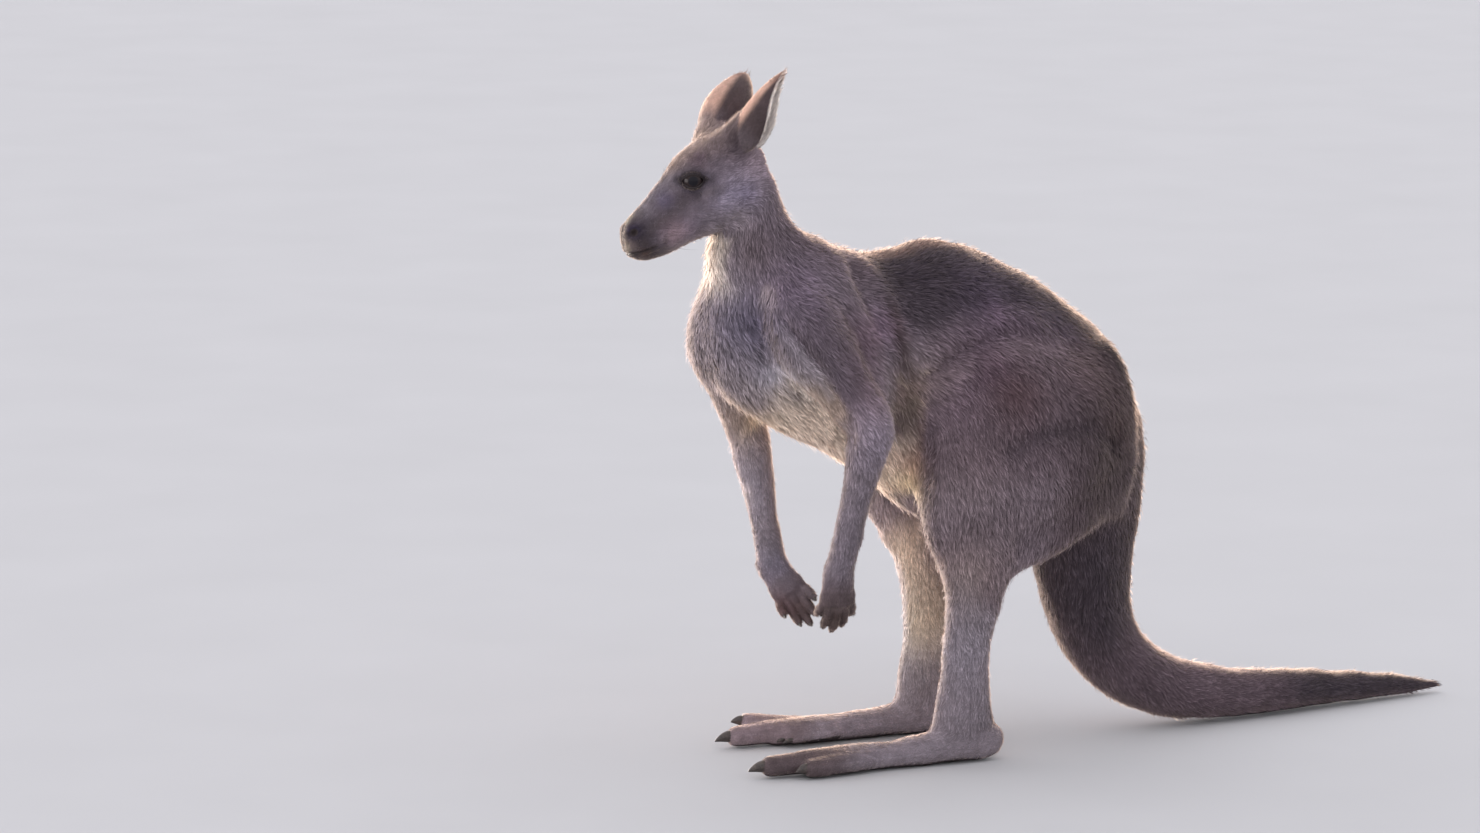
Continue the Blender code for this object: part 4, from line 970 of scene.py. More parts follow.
@dataclass
class Skin:
    """The whole body's skin: lofted masses grown together, thinned, refined and sculpted."""

    voxel: float = 0.0033
    softening: int = 42
    body_triangles: int = 38000
    shell: Shell = field(init=False)
    object: bpy.types.Object = field(init=False)
    fields: Fields = field(init=False)

    def build(self) -> bpy.types.Object:
        """Grow, refine, sink and sculpt the skin, and put it into the scene."""
        self.grow()
        self.thin()
        self.refine()
        weights, lines = self.influences(self.shell.points)
        depth = weights @ np.array([line.depth for line in lines])
        self.shell.points = self.shell.points - self.shell.normals() * depth[:, None]
        self.sculpt_body()
        self.sculpt_head()
        self.part_fingers()
        self.shell.points[:, 2] = np.maximum(self.shell.points[:, 2], FLOOR_GAP)
        self.object = make_object("skin", self.shell)
        self.fields = self.measure()
        paint(self.object, "coat", self.fields.colour)
        paint(self.object, "bare", self.bareness()[:, None] * np.ones(3))
        return self.object

    def grow(self) -> None:
        """Merge the masses on a grid of cubes and soften what comes out."""
        rough = make_object("rough", stitched(Masses().all()))
        remesh = rough.modifiers.new("grow", "REMESH")
        remesh.mode = "VOXEL"
        remesh.voxel_size = self.voxel
        self.shell = read_shell(rough)
        bpy.data.objects.remove(rough, do_unlink=True)
        self.shell.relaxed(self.softening, self.softness())

    def softness(self) -> Array:
        """Return how far each point is smoothed, from 0 to 1: less on muzzle, hands and toes."""
        firm = [(HEAD.place(0.12, 0.0, 0.04), 0.060, 0.130, 0.12)]
        for side in Side:
            wrist, knuckles = Arm(side).joints()[2:]
            firm.append((wrist + (knuckles - wrist) * 1.2, 0.070, 0.150, 0.12))
            firm.append((placed((0.095 * side.value, -0.14, 0.02)), 0.140, 0.230, 0.14))
        weight = np.ones(len(self.shell.points))
        for centre, near, far, least in firm:
            share = np.clip((gap_to(self.shell.points, centre) - near) / (far - near), 0, 1)
            weight = np.minimum(weight, least + (1.0 - least) * share)
        return weight

    def fine(self) -> Array:
        """Return 1 on head, hands and feet and 0 on the rest."""
        parts = [(HEAD.place(0.065, 0.0, 0.03), 0.175, 0.145)]
        for side in Side:
            parts.append((Arm(side).joints()[3], 0.11, 0.085))
            parts.append((placed((0.095 * side.value, -0.17, 0.02)), 0.115, 0.090))
        return np.max([ease(far, near, gap_to(self.shell.points, centre))
                       for centre, far, near in parts], axis=0)

    def thin(self) -> None:
        """Keep fewer triangles on the trunk, limbs and tail."""
        rough = make_object("rough", self.shell)
        group = rough.vertex_groups.new(name="thin")
        fine = self.fine() > 0.5
        group.add(np.nonzero(~fine)[0].tolist(), 1.0, "REPLACE")
        kept = fine[self.shell.faces].all(axis=1).sum()
        collapse = rough.modifiers.new("thin", "DECIMATE")
        collapse.ratio = (self.body_triangles + kept) / len(self.shell.faces)
        collapse.vertex_group = "thin"
        collapse.vertex_group_factor = 10.0
        self.shell = read_shell(rough)
        bpy.data.objects.remove(rough, do_unlink=True)
        self.shell.relaxed(3, 0.6)

    def refine(self) -> None:
        """Split triangles on head, hands and folds, and again around eyes, nose and mouth."""
        points = self.shell.points
        near = gap_to(HEAD.local(points), (0.096, 0.0, 0.035)) < 0.098
        for side in Side:
            wrist, knuckles = Arm(side).joints()[2:]
            near |= gap_to(points - knuckles, (knuckles - wrist) * 0.45) < 0.046
        for fold in FINE_FOLDS:
            near |= fold.gap(mirrored(points)) < 0.020
        self.split(near)
        self.shell.relaxed(4, near_face(self.shell.points) * 0.8)
        points = self.shell.points
        near = (HEAD.local(points)[:, 0] > 0.149) & (points[:, 2] > HEAD_LEVEL)
        for eye in EYES:
            near |= (gap_to(points, eye.centre()) < 0.0245) & (eye.local(points)[:, 2] > -0.002)
        self.split(near)
        self.shell.relaxed(3, near_face(self.shell.points) * 0.6)

    def split(self, chosen: Array) -> None:
        """Cut triangles in four where all their points are chosen, and fit their neighbours.

        Each edge between two chosen points gets a middle; a face with one, two or three
        such edges becomes two, three or four faces.
        """
        points, faces = self.shell.points, self.shell.faces
        edges = np.sort(np.stack([faces, np.roll(faces, -1, axis=1)], axis=-1).reshape(-1, 2), axis=1)
        edges, back = np.unique(edges, axis=0, return_inverse=True)
        marked = chosen[edges].all(axis=1)
        middle = np.full(len(edges), -1)
        middle[marked] = len(points) + np.arange(marked.sum())
        added = points[edges[marked]].mean(axis=1)
        mid = middle[back.reshape(-1, 3)]
        cut = mid >= 0
        count = cut.sum(axis=1)
        turn = np.zeros(len(faces), dtype=int)
        turn[(count == 1) & cut[:, 1]] = 1
        turn[(count == 1) & cut[:, 2]] = 2
        turn[(count == 2) & ~cut[:, 0]] = 1
        turn[(count == 2) & ~cut[:, 1]] = 2
        order = (np.arange(3)[None, :] + turn[:, None]) % 3
        v = np.take_along_axis(faces, order, axis=1)
        m = np.take_along_axis(mid, order, axis=1)
        one, two, three = count == 1, count == 2, count == 3
        a, b, c = (v[:, i] for i in range(3))
        d, e, f = (m[:, i] for i in range(3))

        def rows(which: Array, *corners: Array) -> Array:
            """Stack the corners of the faces that are cut in one way."""
            return np.stack([corner[which] for corner in corners], axis=1)

        self.shell = Shell(np.vstack([points, added]), np.vstack([
            faces[count == 0],
            rows(one, a, d, c), rows(one, d, b, c),
            rows(two, d, b, e), rows(two, a, d, e), rows(two, a, e, c),
            rows(three, a, d, f), rows(three, d, b, e), rows(three, f, e, c), rows(three, d, e, f)]))

    def influences(self, points: Array) -> tuple[Array, list[Bone]]:
        """Weigh the bones at each place by the sixth power of radius over distance.

        Args:
            points: where the bones are weighed.

        Returns:
            The weights, a row for each point, and the bones.
        """
        lines = bones()
        weights = np.empty((len(points), len(lines)))
        for index, line in enumerate(lines):
            gap = np.maximum(nearest_on_line(points, line.start, line.stop)[0], 0.25 * line.radius)
            weights[:, index] = (line.radius / gap) ** 6
        return weights / weights.sum(axis=1, keepdims=True), lines

    def sculpt_body(self) -> None:
        """Press folds into the body between its muscles, and raise the muscles beside them."""
        beside_tail = (0.095 - LAYOUT_ORIGIN[0], 0.060, 0.540)
        self.shell.relaxed(36, hump(mirrored(self.shell.points), beside_tail, (0.060, 0.075, 0.095)))
        points, normal = self.shell.points, self.shell.normals()
        moved = np.zeros(len(points))
        for fold in FOLDS.values():
            for sign in (1, -1):
                gap = fold.gap(points * (sign, 1, 1) + ((sign - 1) * LAYOUT_ORIGIN[0], 0, 0))
                moved -= fold.depth * bell(gap, fold.wide)
                moved += 0.35 * fold.depth * bell(gap - 2.3 * fold.wide, 1.1 * fold.wide)
        withers = hump(points, (0.035, -0.325, 0.775), (0.075, 0.055, 0.050))
        moved += 0.011 * withers * ease(0.1, 0.7, normal[:, 2])
        moved += 0.0012 * ripple(points, 0.11, 5) + 0.0006 * ripple(points, 0.045, 6)
        moved *= 1.0 - 0.9 * self.fine()
        throat = hump(HEAD.local(points), (0.104, 0.0, -0.046), (0.042, 0.050, 0.034))
        moved += 0.021 * throat * ease(0.15, -0.35, normal[:, 1])
        self.shell.points = points + normal * moved[:, None]

    def sculpt_head(self) -> None:
        """Shape lids, brow, nostrils, mouth, cheek and the mounds of the ears."""
        points, normal = self.shell.points, self.shell.normals()
        local = HEAD.folded(points)
        a, l, u = local.T
        near = (a > -0.09) & (l < 0.09) & (np.abs(u) < 0.14) & (points[:, 2] > HEAD_LEVEL)
        moved = np.zeros(len(points))
        for height, centre, sizes in HEAD_HILLS:
            moved += height * hump(local, centre, sizes)
        gap = nearest_on_path(local[:, [0, 2]], MOUTH)
        open_lips = 0.12 * ease(0.130, 0.145, a) + 0.88 * ease(0.150, 0.165, a)
        moved += (0.0009 * bell(gap - 0.0040, 0.0024) - 0.0023 * bell(gap, 0.0014)) * open_lips
        moved -= 0.0014 * bell(l, 0.0011) * ease(0.160, 0.170, a) * ease(0.022, 0.030, u)
        for side in Side:
            moved += 0.0020 * bell(gap_to(points, ear_root(side)), 0.026)
        self.shell.points = points + normal * (moved * near)[:, None]
        for eye in EYES:
            self.open_eye(eye)

    def part_fingers(self) -> None:
        """Draw the skin of each hand onto its fingers, so that grooves part them.

        The wanted surface is where a soft minimum of the gaps to the fingers is zero.
        """
        soft = 0.0011
        for side in Side:
            arm = Arm(side)
            knuckles, down = arm.joints()[3], arm.hand_axes()[0]
            for _ in range(4):
                points, normal = self.shell.points, self.shell.normals()
                rows = np.nonzero(gap_to(points - knuckles, down * 0.022) < 0.055)[0]
                near = points[rows]
                total = np.zeros(len(rows))
                for joints, radius in arm.fingers():
                    sizes = radius * np.array(arm.finger_sizes)
                    gap = np.full(len(rows), np.inf)
                    for index in range(len(joints) - 1):
                        far, share = nearest_on_line(near, joints[index], joints[index + 1])
                        gap = np.minimum(gap, far - sizes[index] - (sizes[index + 1] - sizes[index]) * share)
                    total += np.exp(-np.clip(gap, -0.02, 0.02) / soft)
                gap = -soft * np.log(total)
                share = ease(-0.010, 0.008, (near - knuckles) @ down)
                self.shell.points[rows] -= normal[rows] * (np.clip(gap, -0.005, 0.005) * share * 0.7)[:, None]

    def open_eye(self, eye: EyePlace) -> None:
        """Sink the skin behind the eyeball inside the almond, and lay lids around it.

        Args:
            eye: the place and almond of the eye.
        """
        local = eye.local(self.shell.points)
        ring = eye.ring(local)
        near = (local[:, 2] > -0.003) & (np.linalg.norm(local, axis=1) < LID_ZONE) & (ring < 2.4)
        flat = local[:, 0] ** 2 + local[:, 1] ** 2
        hidden = np.sqrt(np.maximum((eye.radius - 0.0026) ** 2 - flat, 0.003 ** 2))
        lid = np.sqrt(np.maximum((eye.radius + 0.0014) ** 2 - flat, 0.0066 ** 2))
        out = blend(hidden[:, None], lid[:, None], ease(0.92, 1.06, ring))[:, 0]
        out = blend(out[:, None], local[:, 2:3], ease(1.06, 1.62, ring))[:, 0]
        above = ease(-0.002, 0.004, local[:, 1])
        out -= 0.0010 * bell(ring - 1.46, 0.085) * (0.35 + 0.65 * above)
        out += 0.0008 * bell(ring - 1.24, 0.10) * (0.5 + 0.5 * above)
        local[:, 2] = np.where(near, out, local[:, 2])
        self.shell.points = np.where(near[:, None], eye.centre() + local @ eye.axes(), self.shell.points)

    def bareness(self) -> Array:
        """Return 1 where skin shows bare: nostrils, lips and lid edges, soles and palms."""
        points = self.shell.points
        local = HEAD.folded(points)
        on_lips = (points[:, 2] > HEAD_LEVEL) * ease(0.150, 0.163, local[:, 0])
        bare = ease(0.0030, 0.0014, nearest_on_path(local[:, [0, 2]], MOUTH)) * on_lips
        bare = np.maximum(bare, ease(0.0085, 0.0055, gap_to(local, NOSTRIL)) * on_lips)
        for eye in EYES:
            spot = eye.local(points)
            inside = (spot[:, 2] > -0.003) & (np.linalg.norm(spot, axis=1) < LID_ZONE)
            bare = np.maximum(bare, ease(1.22, 1.10, eye.ring(spot)) * inside)
        soles = ease(-0.55, -0.80, self.shell.normals()[:, 2]) * (points[:, 2] < 0.014)
        return np.maximum(bare, soles)

    def measure(self) -> Fields:
        """Work out everything that the coat needs at each point of the skin."""
        points, normal = self.shell.points, self.shell.normals()
        weights, lines = self.influences(points)
        lie = weights @ np.array([line.lie() for line in lines])
        lie += 0.16 * np.stack([ripple(points, 0.09, 31 + axis) for axis in range(3)], axis=1)
        lie -= normal * np.einsum("ij,ij->i", lie, normal)[:, None]
        patch = np.array([line.patch.value for line in lines])[weights.argmax(axis=1)]

        def mixed(name: str) -> Array:
            """Mix one measure of the bones."""
            return weights @ np.array([getattr(line, name) for line in lines])

        length, depth = mixed("length"), mixed("depth")
        for fold in FINE_FOLDS:
            length = length * (1.0 - 0.40 * bell(fold.gap(mirrored(points)), fold.wide))
        for side in Side:
            root, tip, _, _ = Ear(side).pose()
            axis = unit(tip - root)
            share = ease(0.036, 0.022, gap_to(points - root, axis * 0.008))
            lie = blend(lie, axis - normal * (normal @ axis)[:, None], share)
            length, depth = length + 0.0035 * share, depth + 0.0012 * share
        density = mixed("thickness") * (1.0 - ease(0.15, 0.6, self.bareness()))
        return Fields(normal, unit(lie), length, depth, mixed("width"), density,
                      self.markings(points, normal, weights, lines), self.sketch(points, patch), patch)

    def sketch(self, points: Array, patch: Array) -> Array:
        """Unroll each patch around its own long axis: angle across and length up.

        Args:
            points: of the skin.
            patch: the number of the patch at each point.

        Returns:
            A place on the flat unwrap for each point.
        """
        flat = np.zeros((len(points), 2))
        for which in np.unique(patch):
            rows = patch == which
            own = points[rows] - points[rows].mean(axis=0)
            along, across, deep = np.linalg.eigh(own.T @ own)[1].T[::-1]
            angle = np.arctan2(own @ deep, own @ across) / (2 * math.pi) + 0.5
            height = own @ along
            height = (height - height.min()) / np.ptp(height)
            flat[rows] = np.stack([angle, height], axis=1) * 0.96 + 0.02
        return flat

    def markings(self, points: Array, normal: Array, weights: Array, lines: list[Bone]) -> Array:
        """Return the coat's ground colour at each point, dark on the back and pale beneath,
        with painted light and shade laid over it.

        Args:
            points: of the skin.
            normal: at each point.
            weights: of the bones at each point.
            lines: the bones.

        Returns:
            A colour for each point.
        """
        coat = Coating(weights @ np.array([line.colour for line in lines]))
        share = {patch: weights[:, [line.patch is patch for line in lines]].sum(axis=1) for patch in Patch}
        trunk = share[Patch.CHEST] + share[Patch.BELLY] + share[Patch.RUMP]
        coat.lay(CREAM, 0.85 * trunk * ease(-0.20, -0.80, normal[:, 2]))
        for side in Side:
            arm, thigh, leg = (share[Patch.of(part, side)] for part in ("ARM", "THIGH", "LEG"))
            inner = ease(0.05, -0.75, normal[:, 0] * side.value)
            above_foot = ease(0.10, 0.18, points[:, 2])
            coat.lay(CREAM, 0.75 * inner * np.clip(thigh + leg * above_foot, 0, 1))
            coat.lay(CREAM, 0.40 * inner * arm * ease(0.30, 0.36, points[:, 2]))
            coat.lay(ASH, 0.55 * ease(0.15, -0.75, normal[:, 1]) * thigh)
            coat.lay(SOOT, 0.50 * ease(0.05, 0.75, normal[:, 1]) * (thigh + 0.5 * share[Patch.RUMP]))
        coat.lay(TAWNY, 0.6 * share[Patch.TAIL] * ease(0.0, -0.7, normal[:, 2]))
        self.body_markings(points, normal, share, coat)
        self.chest_markings(points, normal, coat)
        self.head_markings(points, normal, coat)
        # painted light and shade laid over the coat colour: the right side's washes are mostly painted light,
        # the others partly colour
        coat.wash(points, FAR_PAINTED_LIGHT_WASHES)
        coat.wash(mirrored(points), BODY_COLOUR_AND_LIGHT_WASHES)
        coat.wash(HEAD.folded(points), HEAD_COLOUR_AND_LIGHT_WASHES)
        shade = (1.0 + 0.06 * ripple(points, 0.13, 11) + 0.05 * ripple(points, 0.04, 12)
                 + 0.04 * ripple(points * (1.0, 1.0, 0.35), 0.016, 13))
        return np.clip(coat.colour * shade[:, None], 0.004, 1.0)

    def body_markings(self, points: Array, normal: Array, share: dict[Patch, Array], coat: Coating) -> None:
        """Lay the trunk's markings over the ground colour.

        The dark back ends at the top of each haunch and the flank is browner; painted shade lies in the
        creases behind the upper arm and over the haunch, each with a painted highlight beside it.

        Args:
            points: of the skin.
            normal: at each point.
            share: how far each point belongs to each patch.
            coat: the colours to lay them over.
        """
        _, y, z = points.T
        left = mirrored(points)
        thighs = share[Patch.THIGH_LEFT] + share[Patch.THIGH_RIGHT]
        arms = share[Patch.ARM_LEFT] + share[Patch.ARM_RIGHT]
        trunk = share[Patch.BELLY] + share[Patch.BACK] + share[Patch.RUMP] + thighs
        ridge = np.interp(y, (-0.33, -0.275, -0.255, -0.197, -0.131, -0.061, 0.008, 0.060, 0.100),
                          (0.668, 0.655, 0.648, 0.664, 0.668, 0.660, 0.635, 0.580, 0.500))
        behind = ease(-0.325, -0.295, y + 0.022 * ease(0.66, 0.75, z))
        coat.lay(SOOT, 0.92 * trunk * behind * ease(-0.030, 0.026, z - ridge))
        crest = (ease(0.88, 0.99, normal[:, 2]) * ease(-0.36, -0.30, y) * ease(0.08, -0.02, y)
                 * ease(0.66, 0.70, z))
        coat.lay((0.190, 0.112, 0.085), 0.75 * crest * trunk)
        haunch = trunk * ease(-0.275, -0.245, y) * ease(0.020, -0.020, z - ridge)
        coat.lay((0.165, 0.120, 0.140), 0.80 * haunch * ease(0.03, 0.07, left[:, 0] + LAYOUT_ORIGIN[0]))
        coat.lay((0.250, 0.200, 0.225), 0.65 * thighs * ease(0.48, 0.40, z) * ease(-0.02, -0.08, y))
        coat.lay((0.050, 0.036, 0.038), 0.75 * trunk * ease(-0.110, 0.040, y) * ease(0.30, 0.36, z))
        flank = trunk * ease(-0.320, -0.295, y) * ease(-0.250, -0.270, y) * ease(0.62, 0.56, z)
        coat.lay((0.185, 0.120, 0.100), 0.70 * flank)
        # pale cream fur in the groin, painted paler still as light
        groin = trunk * ease(0.500, 0.440, z) * ease(-0.245, -0.270, y) * ease(0.40, 0.42, z)
        coat.lay((0.680, 0.500, 0.360), 0.85 * groin)
        # painted shade along the fold on the side of the haunch
        coat.lay(SOOT, 0.70 * bell(FOLDS["haunch_side"].gap(left), 0.016))
        coat.lay((0.250, 0.215, 0.250), 0.75 * arms * ease(0.60, 0.52, z) * ease(0.28, 0.32, z))
        # painted shade in the crease over the haunch, with a painted highlight on the muscle below it
        crease = np.array(FOLDS["haunch_top"].path + ((0.084, -0.030, 0.640),))
        below = bell(nearest_on_path(left, crease + (0.006, 0.0, -0.022)), 0.0140)
        coat.lay((0.225, 0.168, 0.184), 0.75 * below)
        dark = 1.5 * bell(nearest_on_path(left, crease + (0.003, 0.0, 0.003)), 0.0105)
        coat.lay((0.022, 0.015, 0.019), np.minimum(dark, 1.0))
        # along the back edge of the upper arm: a painted highlight on the arm and painted shade in the crease
        # behind it
        arm_edge = np.array(((0.090, -0.358, 0.749), (0.110, -0.322, 0.696), (0.131, -0.300, 0.593),
                             (0.124, -0.293, 0.533), (0.082, -0.298, 0.453)))
        beside = ease(0.73, 0.67, z) * ease(0.47, 0.52, z)
        for shift, tint, weight in ((-0.013, (0.215, 0.182, 0.215), 0.60),
                                    (0.012, (0.060, 0.041, 0.041), 0.85)):
            gap = nearest_on_path(left, arm_edge + (0.0, shift, 0.0))
            coat.lay(tint, weight * beside * bell(gap, 0.0110))
        # pale cream fur on the front of the throat, painted paler still as the glow of a rim light
        throat = (1.0 - arms) * ease(-0.62, -0.90, normal[:, 1]) * ease(-0.43, -0.47, y) * ease(0.68, 0.76, z)
        coat.lay((0.82, 0.72, 0.62), 0.85 * throat * ease(0.86, 0.84, z))
        nape = share[Patch.NECK] * ease(-0.50, -0.44, y) * ease(-0.70, -0.35, normal[:, 1])
        coat.lay((0.098, 0.070, 0.082), 0.75 * nape * ease(0.90, 0.84, z))

    def chest_markings(self, points: Array, normal: Array, coat: Coating) -> None:
        """Lay bib, white patch and tawny breast over the ground colour, with painted shade in the notch
        and along the front of the arm and a painted highlight beside it.

        Args:
            points: of the skin.
            normal: at each point.
            coat: the colours to lay them over.
        """
        x, y, z = points.T
        front_edge = np.interp(z, (0.495, 0.549, 0.616, 0.681, 0.720),
                               (-0.386, -0.397, -0.443, -0.490, -0.505))
        breast = (ease(0.012, -0.012, y - front_edge) * ease(0.53, 0.56, z) * ease(0.73, 0.70, z)
                  * ease(0.35, 0.05, normal[:, 1]) * ease(-0.03, 0.01, x))
        dapple = (1.0 + 0.20 * ripple(points, 0.016, 51) + 0.14 * ripple(points, 0.035, 52))[:, None]
        coat.lay(np.array((0.225, 0.190, 0.215)) * dapple, 0.70 * breast)
        coat.lay(np.array((0.082, 0.070, 0.088)) * dapple,
                 0.66 * hump(points, (0.100, -0.520, 0.676), (0.072, 0.064, 0.040)))
        coat.lay((0.60, 0.57, 0.63), 0.85 * hump(points, (0.124, -0.470, 0.598), (0.045, 0.038, 0.024)))
        tawny = np.minimum(1.6 * hump(points, (0.168, -0.436, 0.566), (0.048, 0.046, 0.034)), 1.0)
        coat.lay((0.360, 0.275, 0.220), 0.90 * tawny * ease(0.010, -0.006, y - front_edge))
        coat.lay((0.520, 0.390, 0.300), 0.75 * hump(points, (0.090, -0.415, 0.522), (0.060, 0.060, 0.040)))
        under = ease(-0.05, -0.55, normal[:, 2]) * ease(-0.50, -0.46, y) * ease(-0.25, -0.30, y)
        coat.lay((0.80, 0.66, 0.54), 0.90 * under * ease(0.62, 0.58, z) * ease(0.36, 0.40, z)
                 * ease(0.150, 0.120, x))
        # painted shade in the crease along the front of the arm, and a painted highlight beside it
        edge = np.array(FOLDS["arm_front"].path)
        coat.lay((0.060, 0.045, 0.050), 0.60 * bell(nearest_on_path(points, edge), 0.0050))
        coat.lay((0.420, 0.370, 0.400),
                 0.55 * bell(nearest_on_path(points, edge[:4] + (-0.012, -0.012, 0.004)), 0.0070))
        # painted shade in the notch of the chest
        notch = np.array(((0.108, -0.516, 0.668), (0.109, -0.508, 0.644), (0.109, -0.501, 0.619)))
        coat.lay((0.030, 0.020, 0.020), 0.95 * bell(nearest_on_path(points, notch), 0.0065))

    def head_markings(self, points: Array, normal: Array, coat: Coating) -> None:
        """Lay the face's own markings over the ground colour, and a painted rim light along the crest of the
        head.

        Args:
            points: of the skin.
            normal: at each point.
            coat: the colours to lay them over.
        """
        local = HEAD.folded(points)
        a, l, u = local.T
        head = (points[:, 2] > HEAD_LEVEL) & (a > -0.07) & (a < 0.20) & (l < 0.07)
        facing = normal @ HEAD.axes().T
        side = ease(0.25, 0.7, np.abs(facing[:, 1]))

        def band(path: Rows | Array, wide: float) -> Array:
            """Return 1 on a path along the side of the head, fading over its width."""
            return bell(nearest_on_path(local[:, [0, 2]], np.array(path)), wide) * head

        coat.lay(ASH, 0.70 * head * ease(-0.25, -0.8, facing[:, 2]))
        coat.lay((0.250, 0.185, 0.170), 0.60 * head * ease(0.060, 0.085, u) * ease(0.080, 0.030, a))
        # a pale band along the crest of the head: painted rim light
        crest = np.array(((-0.040, 0.034, 0.090), (-0.004, 0.013, 0.091), (0.070, 0.006, 0.092)))
        for start, stop in zip(crest[:-1], crest[1:]):
            coat.lay((0.430, 0.320, 0.265), 0.60 * head * bell(nearest_on_line(local, start, stop)[0], 0.011))
        cheek = np.exp(-((a - 0.034) / 0.050) ** 2 - ((u - 0.010) / 0.036) ** 2)
        coat.lay((0.345, 0.300, 0.370), 0.80 * side * cheek * head)
        coat.lay((0.235, 0.200, 0.235),
                 0.45 * side * band(((0.150, 0.030), (0.110, 0.018), (0.070, 0.006)), 0.012))
        coat.lay((0.115, 0.092, 0.096),
                 0.55 * side * band(((0.150, 0.052), (0.105, 0.050), (0.075, 0.050), (0.040, 0.036)), 0.010))
        coat.lay((0.28, 0.25, 0.27),
                 0.60 * band(((0.135, 0.078), (0.100, 0.084), (0.075, 0.080)), 0.012) * (1 - side * 0.3))
        nose = np.exp(-((a - 0.170) / 0.0160) ** 2 - ((u - 0.060) / 0.0135) ** 2)
        coat.lay((0.026, 0.020, 0.034), 0.95 * head * nose)
        coat.lay((0.050, 0.038, 0.042), 0.85 * head * ease(0.135, 0.172, a))
        coat.lay((0.020, 0.014, 0.015), 0.70 * band(MOUTH, 0.0026) * ease(0.150, 0.166, a))
        for eye in EYES:
            spot = eye.local(points)
            inside = (spot[:, 2] > -0.004) & (np.linalg.norm(spot, axis=1) < 0.040)
            ring = eye.ring(spot)
            front = ease(-0.006, 0.012, spot[:, 0])
            coat.lay((0.088, 0.072, 0.092), 0.70 * ease(3.0, 1.5, ring) * inside)
            coat.lay((0.018, 0.013, 0.017), 0.95 * ease(1.80 + 0.20 * front, 1.05, ring) * inside)
        for mark in Side:
            coat.lay((0.150, 0.112, 0.118), 0.45 * ease(0.040, 0.012, gap_to(points, ear_root(mark))))


def near_face(points: Array) -> Array:
    """Return 1 near the middle of the face, fading to 0 behind the ears."""
    reach = 0.130
    return ease(reach, reach * 0.85, gap_to(HEAD.local(points), (0.075, 0.0, 0.035)))


# ------------------------------------------------------------------ coat
@dataclass
class Tufts:
    """Narrow tapered strips of hair: each has a root edge, a middle edge and a tip."""

    points: Array            # tuft, point, axis
    normals: Array           # tuft, axis
    colour: Array            # tuft, axis
    sketch: Array            # tuft, axis
    patch: Array             # tuft
    luck: Array              # tuft, 0 to 1

    def object(self, name: str, rows: Array) -> bpy.types.Object:
        """Put some of the tufts into the scene as one mesh.

        Args:
            name: of the piece.
            rows: which tufts, as true or false for each.
        """
        points = self.points[rows]
        count = len(points)
        start = np.arange(count)[:, None, None] * TUFT_POINTS
        faces = (start + np.array(((0, 1, 2), (0, 2, 3), (3, 2, 4)))).reshape(-1, 3)
        item = make_object(name, Shell(points.reshape(-1, 3), faces))
        item.data.normals_split_custom_set_from_vertices(np.repeat(self.normals[rows], TUFT_POINTS, axis=0))
        paint(item, "coat", np.repeat(self.colour[rows], TUFT_POINTS, axis=0))
        strand = np.zeros((count, TUFT_POINTS, 3))
        strand[:, :, 0] = (0.0, 0.0, 0.5, 0.5, 1.0)
        strand[:, :, 1] = self.luck[rows][:, None]
        paint(item, "strand", strand.reshape(-1, 3))
        spread = np.array(((-1, -1), (1, -1), (1, 0), (-1, 0), (0, 1))) * SKETCH_HALF
        flat = np.clip(self.sketch[rows][:, None] + spread, 0.0005, 0.9995)
        unwrap = item.data.uv_layers.new(name="OFBake")
        unwrap.data.foreach_set("uv", flat.reshape(-1, 2)[faces.ravel()].astype(np.float32).ravel())
        return item


# carry the number of a lock into three values between 0 and 1
SCATTER = np.array(((12.9898, 78.233, 37.719), (39.346, 11.135, 83.155), (73.156, 52.235, 9.151)))
SCATTER_GAIN = 43758.5453


